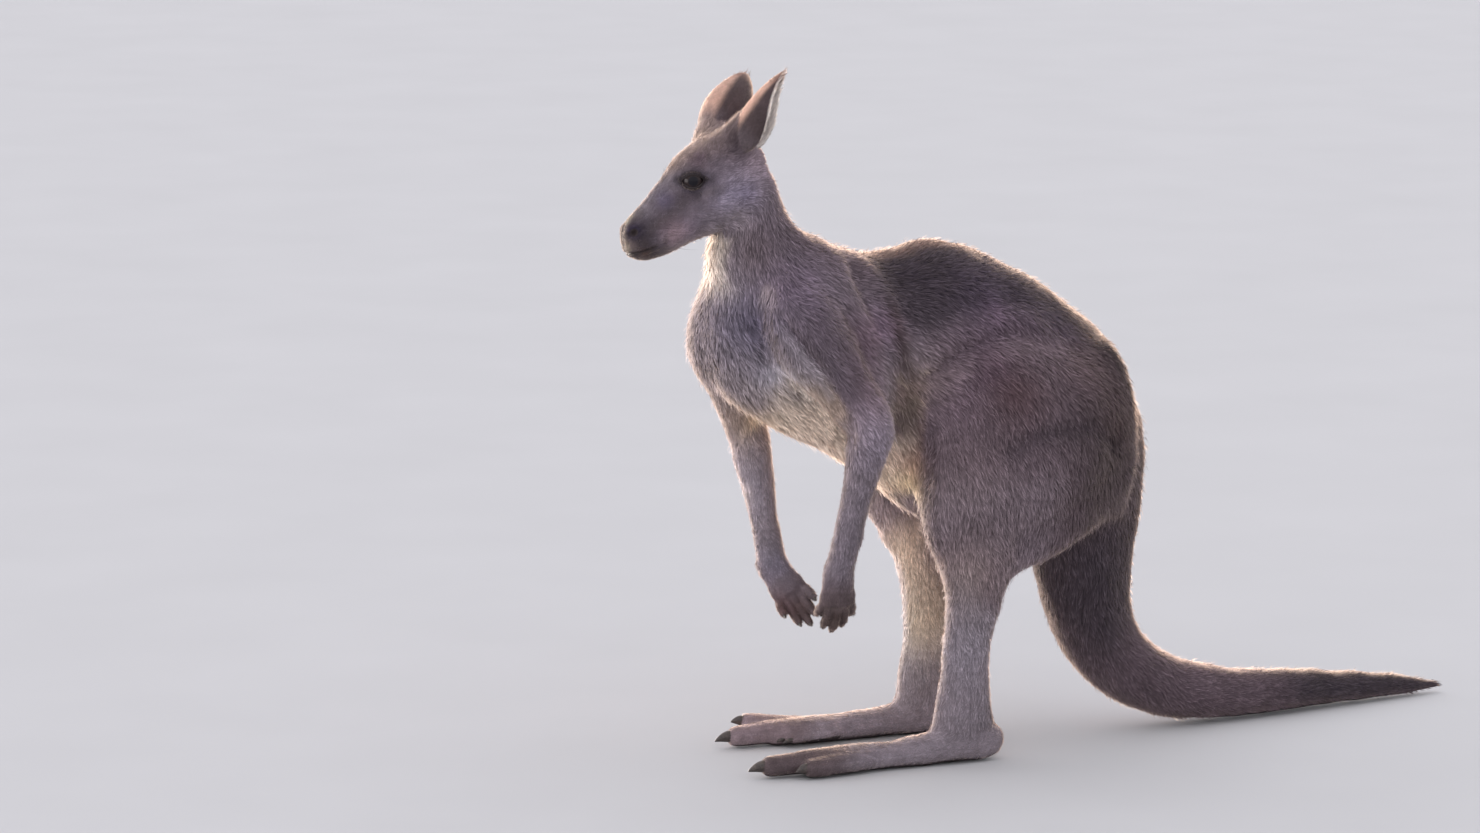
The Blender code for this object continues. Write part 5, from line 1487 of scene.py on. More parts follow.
@dataclass(frozen=True)
class Grower:
    """Plants tufts on a surface."""

    count: int
    seed: int
    clump: float = 0.011     # size of the locks that lean together
    gather: float = 0.30     # how far tips lean to the middle of their lock

    def grow(self, shell: Shell, fields: Fields) -> Tufts:
        """Spread roots over the surface by area and density and raise a tuft from each.

        A root is a random place in a face. The tuft leaves it along the lie of the coat,
        tilted so that its tip stands at the coat's depth, leans to the middle of its lock
        and bends back down.

        Args:
            shell: the surface.
            fields: what the coat is like at each of its points.

        Returns:
            The tufts.
        """
        rng = np.random.default_rng(self.seed)
        share = shell.areas() * fields.density[shell.faces].mean(axis=1)
        total = np.cumsum(share)
        face = np.searchsorted(total, (np.arange(self.count) + rng.uniform(0, 1, self.count))
                               * total[-1] / self.count)
        face = np.minimum(face, len(share) - 1)
        corner = shell.faces[face]
        a, b = np.sqrt(rng.uniform(0, 1, self.count)), rng.uniform(0, 1, self.count)
        mix = np.stack([1 - a, a * (1 - b), a * b], axis=1)

        def read(values: Array) -> Array:
            """Mix a measure from the corners of each root's face."""
            if values.ndim == 1:
                return (values[corner] * mix).sum(axis=1)
            return np.einsum("ijk,ij->ik", values[corner], mix)

        root, normal = read(shell.points), unit(read(fields.normal))
        flow = read(fields.flow)
        length = read(fields.length) * rng.uniform(0.72, 1.18, self.count)
        depth, width = read(fields.depth), read(fields.width) * rng.uniform(0.75, 1.25, self.count)
        cell = np.floor(root / self.clump)
        jitter = np.modf(np.abs(np.sin(cell @ SCATTER) * SCATTER_GAIN))[0]
        pull = (cell + jitter) * self.clump - root
        flow = flow + 0.10 * rng.normal(size=flow.shape) + 0.15 * (jitter - 0.5)
        flow = unit(flow - normal * np.einsum("ij,ij->i", flow, normal)[:, None])
        pull -= normal * np.einsum("ij,ij->i", pull, normal)[:, None]
        luck = rng.uniform(0, 1, self.count)
        rise = depth * rng.uniform(0.45, 1.10, self.count) * (1.0 + 1.2 * (luck > 0.92))
        luck = luck * (1.0 - 0.28 * ease(0.0062, 0.0045, read(fields.length)))
        tint = 1.0 + 0.18 * (jitter[:, 1] - 0.5)
        lift = np.arcsin(np.clip(rise / length, 0.02, 0.75))
        roll = rng.normal(0, 0.45, self.count).clip(-1.0, 1.0)
        cross = np.cross(flow, normal)
        side = cross * np.cos(roll)[:, None] + normal * np.sin(roll)[:, None]
        steep = flow * np.cos(lift * 1.5)[:, None] + normal * np.sin(lift * 1.5)[:, None]
        middle = root + steep * (length * 0.5)[:, None] + pull * self.gather * 0.35
        tip = (root + (flow * np.cos(lift)[:, None] + normal * np.sin(lift)[:, None]) * length[:, None]
               + pull * self.gather)
        root = root - normal * ROOT_DEPTH
        half = side * (width / 2)[:, None]
        points = np.stack([root - half, root + half, middle + half * 0.72, middle - half * 0.72, tip], axis=1)
        points[:, :, 2] = np.maximum(points[:, :, 2], TIP_GAP)
        flat = unit(np.cross(side, steep))
        facing = unit(normal * 0.70 + flat * 0.30)
        first = corner[:, 0]
        return Tufts(points, facing, read(fields.colour) * tint[:, None], fields.sketch[first],
                     fields.patch[first], luck)


# ------------------------------------------------------------------ ears
@dataclass
class Ear:
    """One ear: a pointed leaf rolled into a funnel at its root, furred on both faces."""

    side: Side
    half_width: float = 0.0300
    thickness: float = 0.0030
    columns: int = 34
    # share of the length, half width, half angle of the roll in degrees
    rows: Rows = ((-0.16, 0.24, 150), (0.00, 0.60, 144), (0.18, 0.95, 128), (0.40, 1.09, 108),
                  (0.62, 0.96, 88), (0.80, 0.68, 72), (0.93, 0.34, 60), (1.00, 0.08, 55))

    def pose(self) -> tuple[Array, Array, Array, float]:
        """Return root, tip, the way the funnel opens and how far the rim is set back."""
        if self.side is Side.LEFT:
            return ear_root(self.side), placed((0.138, -0.243, 1.036)), np.array((0.52, 0.85, 0.0)), 0.48
        return ear_root(self.side), placed((-0.012, -0.245, 1.016)), np.array((-0.97, 0.10, 0.0)), 0.90

    def build(self) -> tuple[Shell, Fields]:
        """Bend an arc at each height, out along its outer face and back along its inner."""
        root, tip, opening, set_back = self.pose()
        axis = unit(tip - root)
        opening = unit(opening - axis * (opening @ axis))
        across = np.cross(axis, opening)
        rows = smooth_rows(self.rows, 7)
        share, half = rows[:, 0], np.radians(rows[:, 2])
        width = np.maximum(rows[:, 1], 0.05) * self.half_width
        radius = width / np.maximum(np.sin(np.minimum(half, math.pi / 2)), 0.2)
        wall = self.thickness * (1.0 - 0.55 * np.maximum(share, 0.0))
        inner = np.maximum(radius - wall, radius * 0.45)
        length = np.linalg.norm(tip - root)
        centre = root + axis * (length * share)[:, None] + opening * (radius - width * set_back)[:, None]
        aside = np.linspace(-1, 1, self.columns)
        turn = aside * half[:, None]
        edge = 1.0 - 0.55 * np.abs(aside) ** 6
        curl = 0.0016 * np.abs(aside) ** 3
        way = np.sin(turn)[..., None] * across - np.cos(turn)[..., None] * opening
        middle = ((radius + inner) / 2)[:, None] + curl
        thick = ((radius - inner) / 2)[:, None] * edge
        outer_arc = centre[:, None] + way * (middle + thick)[..., None]
        inner_arc = (centre[:, None] + way * (middle - thick)[..., None])[:, ::-1]
        rings = np.concatenate([outer_arc, inner_arc], axis=1)
        shell = closed_rings(rings)
        return shell, self.fields(shell, rings.shape, axis, share)

    def fields(self, shell: Shell, shape: tuple[int, ...], axis: Array, share: Array) -> Fields:
        """Work out lie, length and colour of the ear's hair on the grid of its two faces.

        Args:
            shell: of the ear.
            shape: of its grid of rings.
            axis: from its root to its tip.
            share: of the length at each ring.

        Returns:
            What its hair is like at each point.
        """
        count, columns, _ = shape
        turn = np.concatenate([np.linspace(-1, 1, self.columns), np.linspace(1, -1, self.columns)])
        inside = np.repeat((0.0, 1.0), self.columns)
        turn, inside = np.tile(turn, count), np.tile(inside, count)
        height = np.repeat(share, columns)
        turn, inside, height = (np.append(values, values[[0, -1]]) for values in (turn, inside, height))
        normal = shell.normals()
        lie = axis - normal * (normal @ axis)[:, None]
        rim = ease(0.62, 0.98, np.abs(turn))
        rows = np.array(self.rows)
        half = np.interp(height, rows[:, 0], rows[:, 2])
        # the pale back colour beside the ear's edge, fading at the base into the crest's colour, is partly
        # the ear's paler edge and partly painted rim light
        if self.side is Side.LEFT:
            shade = ease(44.0, 64.0, np.abs(turn) * half)
        else:
            shade = ease(-54.0, -30.0, -turn * half)
        back_colour = blend((0.680, 0.440, 0.345), (0.058, 0.042, 0.049), shade * 0.96)
        low = ease(0.34, 0.08, height)
        back_colour = blend(back_colour, (0.128, 0.100, 0.112), low * shade)
        back_colour = blend(back_colour, (0.260, 0.198, 0.190), low * (1.0 - shade))
        inner_colour = blend((0.20, 0.145, 0.130), (0.80, 0.76, 0.72), rim)
        colour = blend(back_colour, inner_colour, inside)
        colour = blend(colour, np.array(RUST) * 1.1, 0.8 * ease(0.76, 0.90, height) * (1.0 - 0.6 * shade))
        length = 0.0042 + 0.0075 * rim * inside + 0.0020 * (1 - inside) * ease(0.3, 0.0, height)
        density = np.where(inside > 0.5, 0.35 + 0.9 * rim, 1.0) * (height > 0.0)
        sketch = np.stack([0.02 + 0.46 * (turn + 1) / 2 + 0.50 * inside, 0.02 + 0.96 * np.clip(height, 0, 1)],
                          axis=1)
        ones = np.ones(len(normal))
        return Fields(normal, unit(lie), length, 0.0009 + 0.0016 * rim * inside, 0.00058 * ones,
                      density, colour, sketch, (ones * 0).astype(int))


# ------------------------------------------------------------------ eyes, claws, whiskers
@dataclass
class Eye:
    """One glossy eyeball with its iris, and the dark wet edge of its lids."""

    place: EyePlace
    bulge: float = 0.0007

    def eyeball(self) -> bpy.types.Object:
        """Turn a half circle around the eye's axis, raised a little over the iris."""
        tilt = np.linspace(0.02, math.pi - 0.02, 44)[:, None]
        turn = np.linspace(0, 2 * math.pi, 64, endpoint=False)[None, :]
        radius = self.place.radius + self.bulge * bell(tilt, 0.62)
        local = np.stack([radius * np.sin(tilt) * np.cos(turn), radius * np.sin(tilt) * np.sin(turn),
                          radius * np.cos(tilt) + 0 * turn], axis=-1)
        item = make_object(f"eyeball_{self.place.side.word}",
                           closed_rings(self.place.centre() + local @ self.place.axes()))
        tilt = np.append(np.broadcast_to(tilt, local.shape[:2]).ravel(), (0.0, math.pi))
        iris = blend((0.021, 0.014, 0.014), (0.008, 0.007, 0.010), ease(0.50, 0.40, tilt))
        paint(item, "coat", blend(iris, (0.008, 0.006, 0.008), ease(0.86, 1.02, tilt)))
        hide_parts(f"eye_{self.place.side.word}")
        return item

    def lid_edge(self) -> bpy.types.Object:
        """Carry a small circle once around the almond, where lid and eyeball meet."""
        stops, sides = 72, 10
        path = self.place.edge(stops, 1.02, self.place.radius + 0.0005)
        along = unit(np.roll(path, -1, axis=0) - np.roll(path, 1, axis=0))
        out = unit(path - self.place.centre())
        across = unit(np.cross(along, out))
        turn = np.linspace(0, 2 * math.pi, sides, endpoint=False)[None, :, None]
        wide, thick = 0.00085, 0.00075
        rings = path[:, None] + wide * np.cos(turn) * across[:, None] + thick * np.sin(turn) * out[:, None]
        faces = sheet_faces(stops + 1, sides, True) % (stops * sides)
        shell = Shell(rings.reshape(-1, 3), faces).turned_out()
        return make_object(f"lid_edge_{self.place.side.word}", shell)


def claw_shell(base: Array, way: Array, droop: Array, length: float, radius: float, flat: float) -> Shell:
    """Carry an ellipse along a bent line, shrinking to the claw's point.

    Args:
        base: where the claw leaves the digit.
        way: its direction there.
        droop: the side to which it bends, by a share of the square of the length.
        length: from base to point.
        radius: at the base.
        flat: width against height.
    """
    way = unit(way)
    droop = unit(droop - way * (droop @ way))
    share = np.array((-0.40, -0.10, 0.10, 0.35, 0.60, 0.82, 0.95, 1.0))
    size = np.array((0.85, 0.97, 1.00, 0.86, 0.62, 0.36, 0.17, 0.07))
    bend = droop * (0.22 * length * np.maximum(share, 0.0) ** 2)[:, None]
    rows = np.hstack([base + way * (length * share)[:, None] + bend,
                      (radius * size * flat)[:, None], (radius * size)[:, None]])
    return tube(rows, np.cross(way, droop), 18, 4)


@dataclass
class Claws:
    """The claws of one side's hand and foot."""

    side: Side

    def hand(self) -> bpy.types.Object:
        """Set a claw at the end of every finger."""
        back = Arm(self.side).hand_axes()[2]
        shells = []
        for joints, radius in Arm(self.side).fingers():
            way = unit(joints[-1] - joints[-2])
            shells.append(claw_shell(joints[-1] - way * 0.001, way, back * (-self.side.value),
                                     0.013, radius * 0.46, 1.0))
        item = make_object(f"claws_hand_{self.side.word}", stitched(shells))
        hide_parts(*(f"claw_finger_{name}_{self.side.word}"
                            for name in ("first", "second", "third", "fourth", "fifth")))
        return item

    def foot(self) -> bpy.types.Object:
        """Set a claw at the end of every toe."""
        shells = []
        for start, stop, radius, length in Leg(self.side).toes():
            way = unit(stop - start)
            base = stop + way * (radius * 0.45) + np.array((0, 0, radius * 0.12))
            shells.append(claw_shell(base, way, -UP, length, radius * 0.50, 0.85))
        item = make_object(f"claws_foot_{self.side.word}", stitched(shells))
        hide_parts(*(f"claw_toe_{name}_{self.side.word}"
                            for name in ("second", "third", "fourth", "fifth")))
        return item


@dataclass
class Bristles:
    """Whiskers on lips, brow and chin, and lashes on the upper lids."""

    tree: BVHTree
    seed: int = 9
    whisker_radius: float = 0.00017
    lash_radius: float = 0.00015

    def hair(self, root: Array, way: Array, droop: Array, length: float, radius: float) -> Shell:
        """Carry a tiny circle along a line that bends with the square of its length.

        Args:
            root: where it leaves the skin.
            way: its direction there.
            droop: the way in which it bends.
            length: of the hair.
            radius: at its root.

        Returns:
            A closed shell.
        """
        share = np.linspace(0, 1, 7)[:, None]
        centres = root + way * length * share + droop * length * share ** 2
        size = radius * (1.0 - 0.9 * share)
        return tube(np.hstack([centres, size, size]), np.cross(way, droop + (0.01, 0.0, 0.0)), 5, 1)

    def whiskers(self) -> bpy.types.Object:
        """Root whiskers on the skin of both sides of the muzzle."""
        rng = np.random.default_rng(self.seed)
        axes = HEAD.axes()
        shells = []
        for sign in (1, -1):
            spots = [(0.150 - 0.009 * i + rng.uniform(-0.002, 0.002),
                      0.038 - 0.006 * j + rng.uniform(-0.001, 0.001)) for i in range(4) for j in range(3)]
            spots += [(0.040, 0.092), (0.046, 0.092), (0.030, -0.020), (0.130, -0.004)]
            for along, up in spots:
                origin = HEAD.place(along, 0.09 * sign, up)
                hit = self.tree.ray_cast(Vector(origin), Vector(-sign * axes[1]))[0]
                if hit is None:
                    continue
                way = unit(np.array((-0.25, 0.90 * sign, -0.25)) @ axes + rng.normal(0, 0.12, 3))
                droop = np.array((-0.45, 0.0, -0.20)) @ axes
                shells.append(self.hair(np.array(hit), way, droop, rng.uniform(0.018, 0.034),
                                        self.whisker_radius))
        return make_object("whiskers", stitched(shells))

    def lashes(self, place: EyePlace) -> bpy.types.Object:
        """Stand lashes along the upper edge of the lids, bending upwards.

        Args:
            place: of the eye.

        Returns:
            The piece.
        """
        rng = np.random.default_rng(self.seed + 1)
        front, up, out = place.axes()
        path = place.edge(72, 1.06, place.radius + 0.0010)[4:34]
        shells = []
        for index, root in enumerate(path):
            along = index / (len(path) - 1) - 0.5
            way = unit(out * 0.9 + up * 0.35 - front * along * 0.9 + rng.normal(0, 0.08, 3))
            shells.append(self.hair(root, way, up * 0.45 - out * 0.10, rng.uniform(0.0045, 0.0070),
                                    self.lash_radius))
        return make_object(f"lashes_{place.side.word}", stitched(shells))


# ------------------------------------------------------------------ finishes
def new_group(name: str, inputs: tuple[tuple[str, str, object], ...],
              outputs: tuple[tuple[str, str], ...]) -> tuple[bpy.types.NodeTree, object, object]:
    """Start a shader node group with named sockets.

    Args:
        name: of the group.
        inputs: name, kind and first value of each input.
        outputs: name and kind of each output.

    Returns:
        The group, its input node and its output node.
    """
    group = bpy.data.node_groups.new(name, "ShaderNodeTree")
    for label, kind, value in inputs:
        socket = group.interface.new_socket(label, in_out="INPUT", socket_type=f"NodeSocket{kind}")
        socket.default_value = value
    for label, kind in outputs:
        group.interface.new_socket(label, in_out="OUTPUT", socket_type=f"NodeSocket{kind}")
    return group, group.nodes.new("NodeGroupInput"), group.nodes.new("NodeGroupOutput")


@dataclass(frozen=True)
class Wiring:
    """Short names for the nodes that the finishes are built from."""

    tree: bpy.types.NodeTree

    def node(self, kind: str, **values: object) -> bpy.types.Node:
        """Add a node and set its own properties."""
        made = self.tree.nodes.new(f"ShaderNode{kind}")
        for name, value in values.items():
            setattr(made, name, value)
        return made

    def feed(self, socket: bpy.types.NodeSocket, value: object) -> None:
        """Link a socket from another one, or set its value."""
        if isinstance(value, bpy.types.NodeSocket):
            self.tree.links.new(value, socket)
        else:
            socket.default_value = value

    def math(self, operation: str, first: object, second: object) -> object:
        """Return the outcome of a sum on two values."""
        made = self.node("Math", operation=operation)
        self.feed(made.inputs[0], first)
        self.feed(made.inputs[1], second)
        return made.outputs[0]

    def times(self, first: object, second: object) -> object:
        """Return the product of two values."""
        return self.math("MULTIPLY", first, second)

    def scaled(self, colour: object, share: object) -> object:
        """Return a colour times a value."""
        made = self.node("VectorMath", operation="SCALE")
        self.feed(made.inputs[0], colour)
        self.feed(made.inputs["Scale"], share)
        return made.outputs[0]

    def mix(self, share: object, first: object, second: object) -> object:
        """Return two colours mixed by a share; a colour may be three plain numbers.

        Args:
            share: of the second colour.
            first: a colour, or its socket.
            second: a colour, or its socket.
        """
        made = self.node("Mix", data_type="RGBA")
        self.feed(made.inputs[0], share)
        for socket, colour in zip(made.inputs[6:8], (first, second)):
            self.feed(socket, (*colour, 1.0) if isinstance(colour, tuple) else colour)
        return made.outputs[2]

    def bump(self, shader: bpy.types.Node, height: object, strength: float, distance: float) -> None:
        """Raise the shader's normal by a height.

        Args:
            shader: whose normal is raised.
            height: the socket that says how far.
            strength: of the bump.
            distance: of a height of 1.
        """
        made = self.node("Bump")
        made.inputs["Strength"].default_value = strength
        made.inputs["Distance"].default_value = distance
        self.feed(made.inputs["Height"], height)
        self.feed(shader.inputs["Normal"], made.outputs[0])

    def noise(self, where: object, scale: float, detail: float = 2.0, rough: float = 0.5) -> object:
        """Return a noise value read at places.

        Args:
            where: the places.
            scale: waves for each metre.
            detail: how many finer waves are added.
            rough: how strong these are.
        """
        made = self.node("TexNoise")
        self.feed(made.inputs["Vector"], where)
        made.inputs["Scale"].default_value = scale
        made.inputs["Detail"].default_value = detail
        made.inputs["Roughness"].default_value = rough
        return made.outputs["Fac"]

    def spread(self, value: object, low: float, high: float, to_low: float, to_high: float) -> object:
        """Return a value carried from one range into another, kept inside it.

        Args:
            value: to carry.
            low: start of its range.
            high: end of its range.
            to_low: start of the new range.
            to_high: end of the new range.
        """
        made = self.node("MapRange")
        for socket, number in zip(made.inputs, (value, low, high, to_low, to_high)):
            self.feed(socket, number)
        return made.outputs[0]

    def places(self, stretch: tuple[float, float, float] = (1.0, 1.0, 1.0)) -> object:
        """Return object coordinates, stretched."""
        source = self.node("TexCoord")
        mapping = self.node("Mapping")
        mapping.inputs["Scale"].default_value = stretch
        self.feed(mapping.inputs["Vector"], source.outputs["Object"])
        return mapping.outputs[0]

    def attribute(self, name: str) -> bpy.types.Node:
        """Return a node that reads a named attribute."""
        return self.node("Attribute", attribute_name=name)


def hair_tone_group() -> bpy.types.NodeTree:
    """Build the group that turns a ground colour into a hair's colour.

    The colour is darker at the root and lighter towards the tip, each hair is a little
    lighter or darker than the next, and some tips are pale.
    """
    group, source, sink = new_group("hair_tone", (
        ("Coat", "Color", (0.3, 0.25, 0.2, 1.0)), ("Along", "Float", 0.5), ("Luck", "Float", 0.5),
        ("Root Shade", "Float", 0.6), ("Tip Light", "Float", 1.2)), (("Color", "Color"),))
    wire = Wiring(group)
    gain = wire.math("SUBTRACT", source.outputs["Tip Light"], source.outputs["Root Shade"])
    fade = wire.math("ADD", source.outputs["Root Shade"], wire.times(source.outputs["Along"], gain))
    patchy = wire.spread(wire.noise(wire.places(), 70.0, 3.0), 0.3, 0.7, 0.88, 1.12)
    chance = wire.spread(source.outputs["Luck"], 0.0, 1.0, 0.79, 1.21)
    toned = wire.scaled(source.outputs["Coat"], wire.times(wire.times(fade, patchy), chance))
    pale = wire.times(wire.spread(source.outputs["Luck"], 0.74, 0.90, 0.0, 0.50),
                      wire.spread(source.outputs["Along"], 0.35, 0.9, 0.0, 1.0))
    light = wire.node("VectorMath", operation="MULTIPLY_ADD")
    wire.feed(light.inputs[0], toned)
    light.inputs[1].default_value = (1.7, 1.7, 1.7)
    light.inputs[2].default_value = (0.09, 0.08, 0.08)
    wire.feed(sink.inputs["Color"], wire.mix(pale, toned, light.outputs[0]))
    return group


@dataclass(frozen=True)
class Finish:
    """A material's name and the values that are the same all over it."""

    name: str
    roughness: float = 0.75
    specular: float = 0.25
    sheen: float = 0.0

    def start(self) -> tuple[bpy.types.Material, Wiring, bpy.types.Node]:
        """Return a new material, its wiring and its principled shader."""
        made = bpy.data.materials.new(self.name)
        made.use_nodes = True
        shader = made.node_tree.nodes["Principled BSDF"]
        shader.inputs["Roughness"].default_value = self.roughness
        shader.inputs["Specular IOR Level"].default_value = self.specular
        shader.inputs["Sheen Weight"].default_value = self.sheen
        shader.inputs["Sheen Roughness"].default_value = 0.45
        shader.inputs["Sheen Tint"].default_value = (1.0, 0.80, 0.68, 1.0)
        return made, Wiring(made.node_tree), shader

    def hair_tone(self, wire: Wiring, group: bpy.types.NodeTree, along: object, luck: object,
                  root: float, tip: float) -> object:
        """Place the hair tone group over the painted ground colour.

        Args:
            wire: of the material.
            group: the hair tone group.
            along: the socket that runs from root to tip.
            luck: the socket that differs from hair to hair.
            root: factor at the root.
            tip: factor at the tip.

        Returns:
            The socket of the colour.
        """
        made = wire.node("Group", node_tree=group)
        wire.feed(made.inputs["Coat"], wire.attribute("coat").outputs["Color"])
        wire.feed(made.inputs["Along"], along)
        wire.feed(made.inputs["Luck"], luck)
        made.inputs["Root Shade"].default_value = root
        made.inputs["Tip Light"].default_value = tip
        return made.outputs["Color"]


@dataclass(frozen=True)
class HairFinish(Finish):
    """The tufts of the coat."""

    root: float = 0.62
    tip: float = 1.18

    def make(self, group: bpy.types.NodeTree) -> bpy.types.Material:
        """Build the material from the strand's own attributes."""
        made, wire, shader = self.start()
        strand = wire.node("SeparateColor")
        wire.feed(strand.inputs[0], wire.attribute("strand").outputs["Color"])
        toned = self.hair_tone(wire, group, strand.outputs[0], strand.outputs[1], self.root, self.tip)
        wire.feed(shader.inputs["Base Color"], toned)
        return made


@dataclass(frozen=True)
class SkinFinish(Finish):
    """The skin under the coat: short hair as colour and bump, and bare leather."""

    def make(self, group: bpy.types.NodeTree) -> bpy.types.Material:
        """Build the material from the painted ground colour and bareness."""
        made, wire, shader = self.start()
        fine = wire.noise(wire.places((1.0, 1.0, 0.45)), 900.0, 2.0)
        bare = wire.attribute("bare").outputs["Fac"]
        haired = self.hair_tone(wire, group, wire.spread(fine, 0.3, 0.7, 0.2, 0.9), fine, 0.62, 1.10)
        grain = wire.noise(wire.places(), 420.0, 3.0)
        leather = wire.mix(grain, (0.020, 0.014, 0.014), (0.045, 0.032, 0.032))
        wire.feed(shader.inputs["Base Color"], wire.mix(bare, haired, leather))
        wire.feed(shader.inputs["Roughness"], wire.spread(bare, 0.0, 1.0, 0.80, 0.62))
        pores = wire.node("TexVoronoi")
        wire.feed(pores.inputs["Vector"], wire.places())
        pores.inputs["Scale"].default_value = 700.0
        wire.bump(shader, wire.math("ADD", fine, wire.times(pores.outputs[0], bare)), 0.6, 0.0006)
        return made


@dataclass(frozen=True)
class EyeFinish(Finish):
    """Wet eye: a dark iris with fine streaks under a clear coat."""

    def make(self) -> bpy.types.Material:
        """Build the material from the painted iris."""
        made, wire, shader = self.start()
        streaks = wire.spread(wire.noise(wire.places(), 1400.0, 4.0, 0.7), 0.3, 0.7, 0.6, 1.5)
        wire.feed(shader.inputs["Base Color"], wire.scaled(wire.attribute("coat").outputs["Color"], streaks))
        shader.inputs["Coat Weight"].default_value = 0.08
        shader.inputs["Coat Roughness"].default_value = 0.02
        return made


@dataclass(frozen=True)
class HornFinish(Finish):
    """Claw horn: dark, streaked along its length, a little worn at the point."""

    def make(self) -> bpy.types.Material:
        """Build the material from two stretched noises."""
        made, wire, shader = self.start()
        streak = wire.noise(wire.places((1.0, 0.18, 1.0)), 900.0, 4.0, 0.6)
        cloud = wire.noise(wire.places(), 120.0, 2.0)
        streaky = wire.spread(streak, 0.35, 0.7, 0.0, 1.0)
        dark = wire.mix(streaky, (0.018, 0.014, 0.013), (0.075, 0.058, 0.050))
        worn = wire.spread(cloud, 0.5, 0.75, 0.0, 0.6)
        wire.feed(shader.inputs["Base Color"], wire.mix(worn, dark, (0.12, 0.095, 0.080)))
        wire.feed(shader.inputs["Roughness"], wire.spread(streak, 0.3, 0.7, 0.28, 0.50))
        wire.bump(shader, streak, 0.35, 0.0004)
        return made


@dataclass(frozen=True)
class LeatherFinish(Finish):
    """Lid edges and bristles: nearly black, with a fine grain."""

    def make(self) -> bpy.types.Material:
        """Build the material from one noise."""
        made, wire, shader = self.start()
        grain = wire.noise(wire.places(), 1500.0, 3.0)
        wire.feed(shader.inputs["Base Color"], wire.mix(grain, (0.008, 0.006, 0.006), (0.030, 0.022, 0.021)))
        return made


# ------------------------------------------------------------------ studio
@dataclass(frozen=True)
class Studio:
    """Pale floor, soft lights and the camera."""

    azimuth: float = math.radians(70.0)
    elevation: float = math.radians(10.0)
    distance: float = 8.0
    focal: float = 132.32
    aside: float = 0.2434
    raised: float = 0.0032
    floor_half: float = 60.0
    sky: Numbers = (0.94, 0.93, 1.0, 1.0)
    sky_strength: float = 1.22

    def axes(self) -> Array:
        """Return right, up and back of the camera as three rows."""
        a, e = self.azimuth, self.elevation
        right = np.array((math.cos(a), math.sin(a), 0.0))
        back = np.array((math.sin(a) * math.cos(e), -math.cos(a) * math.cos(e), math.sin(e)))
        return np.array((right, np.cross(back, right), back))

    def target(self) -> Array:
        """Return the middle of the animal at half its height."""
        return np.array((-LAYOUT_ORIGIN[0], -LAYOUT_ORIGIN[1], 0.5))

    def camera(self) -> None:
        """Place the camera with its frame's middle to the left of the animal."""
        right, up, back = self.axes()
        data = bpy.data.cameras.new("camera")
        data.lens, data.sensor_width = self.focal, 36.0
        item = bpy.data.objects.new("camera", data)
        aim = self.target() - right * self.aside + up * self.raised
        item.location = aim + back * self.distance
        item.rotation_euler = Vector(-back).to_track_quat("-Z", "Y").to_euler()
        bpy.context.scene.collection.objects.link(item)
        bpy.context.scene.camera = item

    def lamp(self, name: str, unlit: bpy.types.Collection, way: Numbers, gap: float, size: float,
             watts: float, tint: Numbers) -> None:
        """Hang a square lamp that looks at the animal.

        Args:
            name: of the lamp.
            unlit: holds what it doesn't light.
            way: its direction from the animal, as right, up and back of the camera.
            gap: its distance.
            size: its side.
            watts: its power.
            tint: its colour.
        """
        data = bpy.data.lights.new(name, "AREA")
        data.energy, data.size, data.color = watts, size, tint
        item = bpy.data.objects.new(name, data)
        place = unit(np.array(way)) @ self.axes()
        item.location = self.target() + place * gap
        item.rotation_euler = Vector(-place).to_track_quat("-Z", "Y").to_euler()
        item.visible_camera = False
        item.light_linking.receiver_collection = unlit
        bpy.context.scene.collection.objects.link(item)

    def build(self) -> None:
        """Lay the floor, light it and set the camera."""
        corners = np.array(((-1, -1, 0), (1, -1, 0), (1, 1, 0), (-1, 1, 0))) * self.floor_half
        floor = make_object("floor", Shell(corners, np.array(((0, 1, 2), (0, 2, 3)))), False)
        made, wire, shader = Finish("floor", roughness=0.85, specular=0.2).start()
        cloud = wire.noise(wire.places(), 3.0)
        wire.feed(shader.inputs["Base Color"], wire.mix(cloud, (0.535, 0.535, 0.53), (0.575, 0.575, 0.57)))
        floor.data.materials.append(made)
        world = bpy.data.worlds.new("studio")
        world.use_nodes = True
        backdrop = world.node_tree.nodes["Background"]
        backdrop.inputs["Color"].default_value = self.sky
        backdrop.inputs["Strength"].default_value = self.sky_strength
        bpy.context.scene.world = world
        unlit = bpy.data.collections.new("unlit_by_rims")
        unlit.objects.link(floor)
        unlit.collection_objects[0].light_linking.link_state = "EXCLUDE"
        self.lamp("rim_left", unlit, way=(-1.0, 0.10, -0.85), gap=3.6, size=1.2, watts=480.0,
                  tint=(1.0, 0.90, 0.80))
        self.lamp("rim_right", unlit, way=(0.35, 0.50, -1.0), gap=3.6, size=1.2, watts=430.0,
                  tint=(1.0, 0.82, 0.68))
        self.lamp("front", unlit, way=(-0.95, -0.02, 0.42), gap=3.4, size=1.8, watts=50.0,
                  tint=(1.0, 0.95, 0.94))
        self.camera()
        bpy.context.scene.view_settings.view_transform = "Standard"


# ------------------------------------------------------------------ the whole animal
def tuft_count(full: int) -> int:
    return full


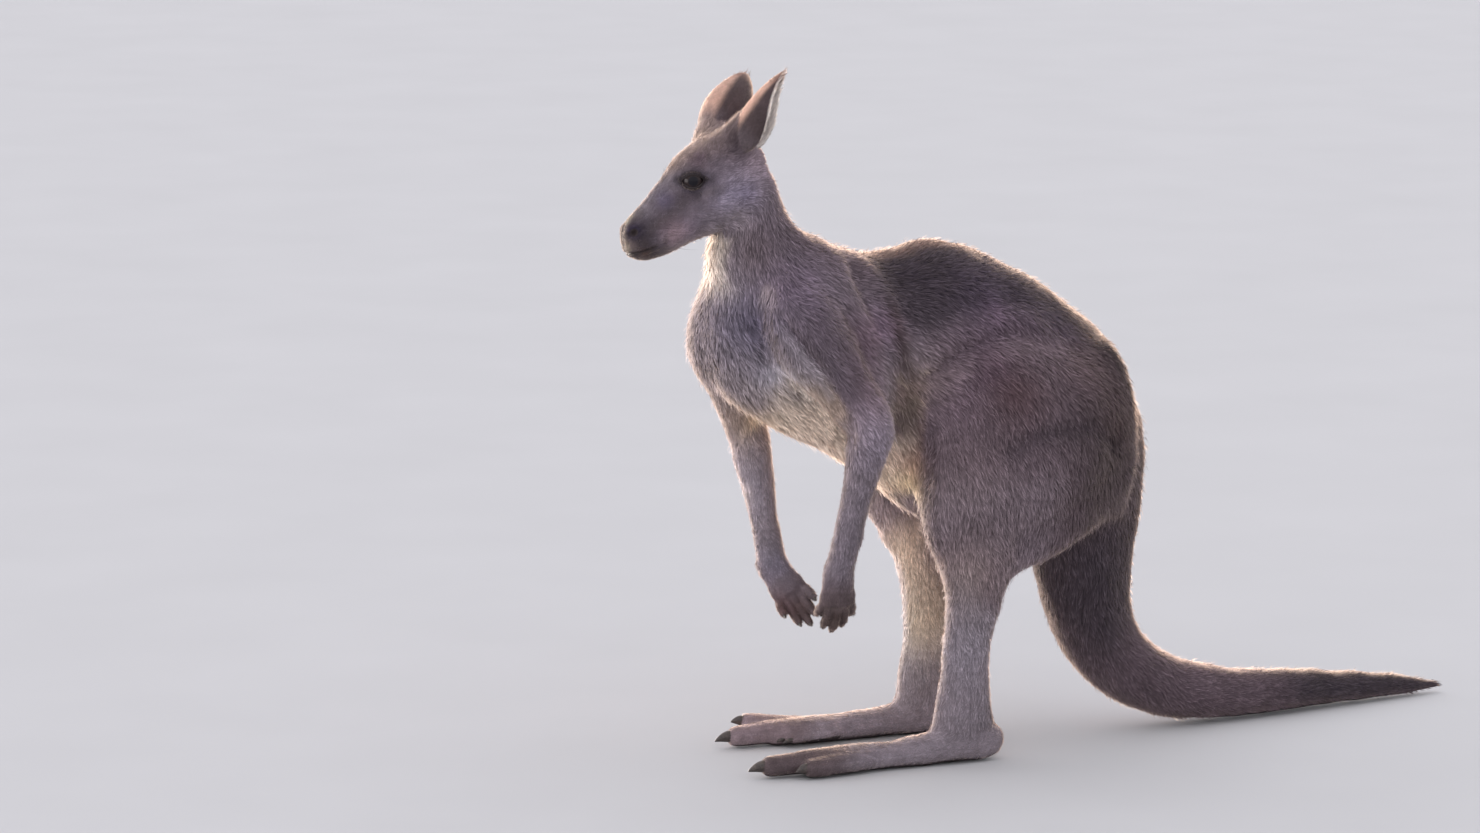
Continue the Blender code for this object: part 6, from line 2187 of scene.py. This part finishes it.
@dataclass
class Kangaroo:
    """Skin, coat, ears, eyes, claws and bristles of the animal."""

    tufts: int = 400000
    ear_tufts: int = 22000

    def settle(self, item: bpy.types.Object, material: bpy.types.Material, slot: str) -> None:
        """Give a piece its finish, fasten it to the body and report it.

        Args:
            item: the piece.
            material: its finish.
            slot: its colour slot; not used.
        """
        item.data.materials.append(material)
        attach(item, "root")
        LOG.info("%s: %d faces", item.name, len(item.data.polygons))

    def build(self) -> None:
        """Build every piece in order."""
        tone = hair_tone_group()
        hair = HairFinish("coat_hair", roughness=0.78, specular=0.20, sheen=1.0).make(tone)
        skin_finish = SkinFinish("skin", roughness=0.80, specular=0.25).make(tone)
        leather = LeatherFinish("dark_leather", roughness=0.40, specular=0.5).make()
        skin = Skin()
        body = skin.build()
        flesh = [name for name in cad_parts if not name.startswith(("ear_", "eye_", "claw_"))]
        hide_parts(*sorted(flesh))
        self.settle(body, skin_finish, "coat_grey")
        tufts = Grower(tuft_count(self.tufts), SEED).grow(skin.shell, skin.fields)
        for patch in Patch:
            rows = tufts.patch == patch.value
            self.settle(tufts.object(f"coat_{patch.name.lower()}", rows), hair, patch.slot)
        for side in Side:
            self.ear(side, skin_finish, hair)
        eye_finish = EyeFinish("eye", roughness=0.10, specular=0.12).make()
        for place in EYES:
            eye = Eye(place)
            self.settle(eye.eyeball(), eye_finish, "eye")
            self.settle(eye.lid_edge(), leather, "eye")
        horn = HornFinish("claw_horn", roughness=0.4, specular=0.5).make()
        for side in Side:
            self.settle(Claws(side).hand(), horn, "claw")
            self.settle(Claws(side).foot(), horn, "claw")
        bristles = Bristles(BVHTree.FromPolygons(skin.shell.points.tolist(), skin.shell.faces.tolist()))
        self.settle(bristles.whiskers(), leather, "eye")
        for place in EYES:
            self.settle(bristles.lashes(place), leather, "eye")

    def ear(self, side: Side, skin_finish: bpy.types.Material, hair: bpy.types.Material) -> None:
        """Build one ear and its short coat.

        Args:
            side: of the ear.
            skin_finish: for its leaf.
            hair: for its coat.
        """
        shell, fields = Ear(side).build()
        item = make_object(f"ear_{side.word}_leaf", shell)
        paint(item, "coat", fields.colour)
        paint(item, "bare", np.zeros((len(shell.points), 3)))
        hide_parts(f"ear_{side.word}")
        self.settle(item, skin_finish, "ear_brown")
        grower = Grower(tuft_count(self.ear_tufts), SEED + 2 + side.value, 0.006, 0.2)
        tufts = grower.grow(shell, fields)
        self.settle(tufts.object(f"coat_ear_{side.word}", tufts.patch == 0), hair, "ear_brown")


def main() -> None:
    """Build the animal and the studio."""
    logging.basicConfig(level=logging.INFO, format="%(message)s")
    Kangaroo().build()
    Studio().build()


if __name__ == "__main__":
    main()
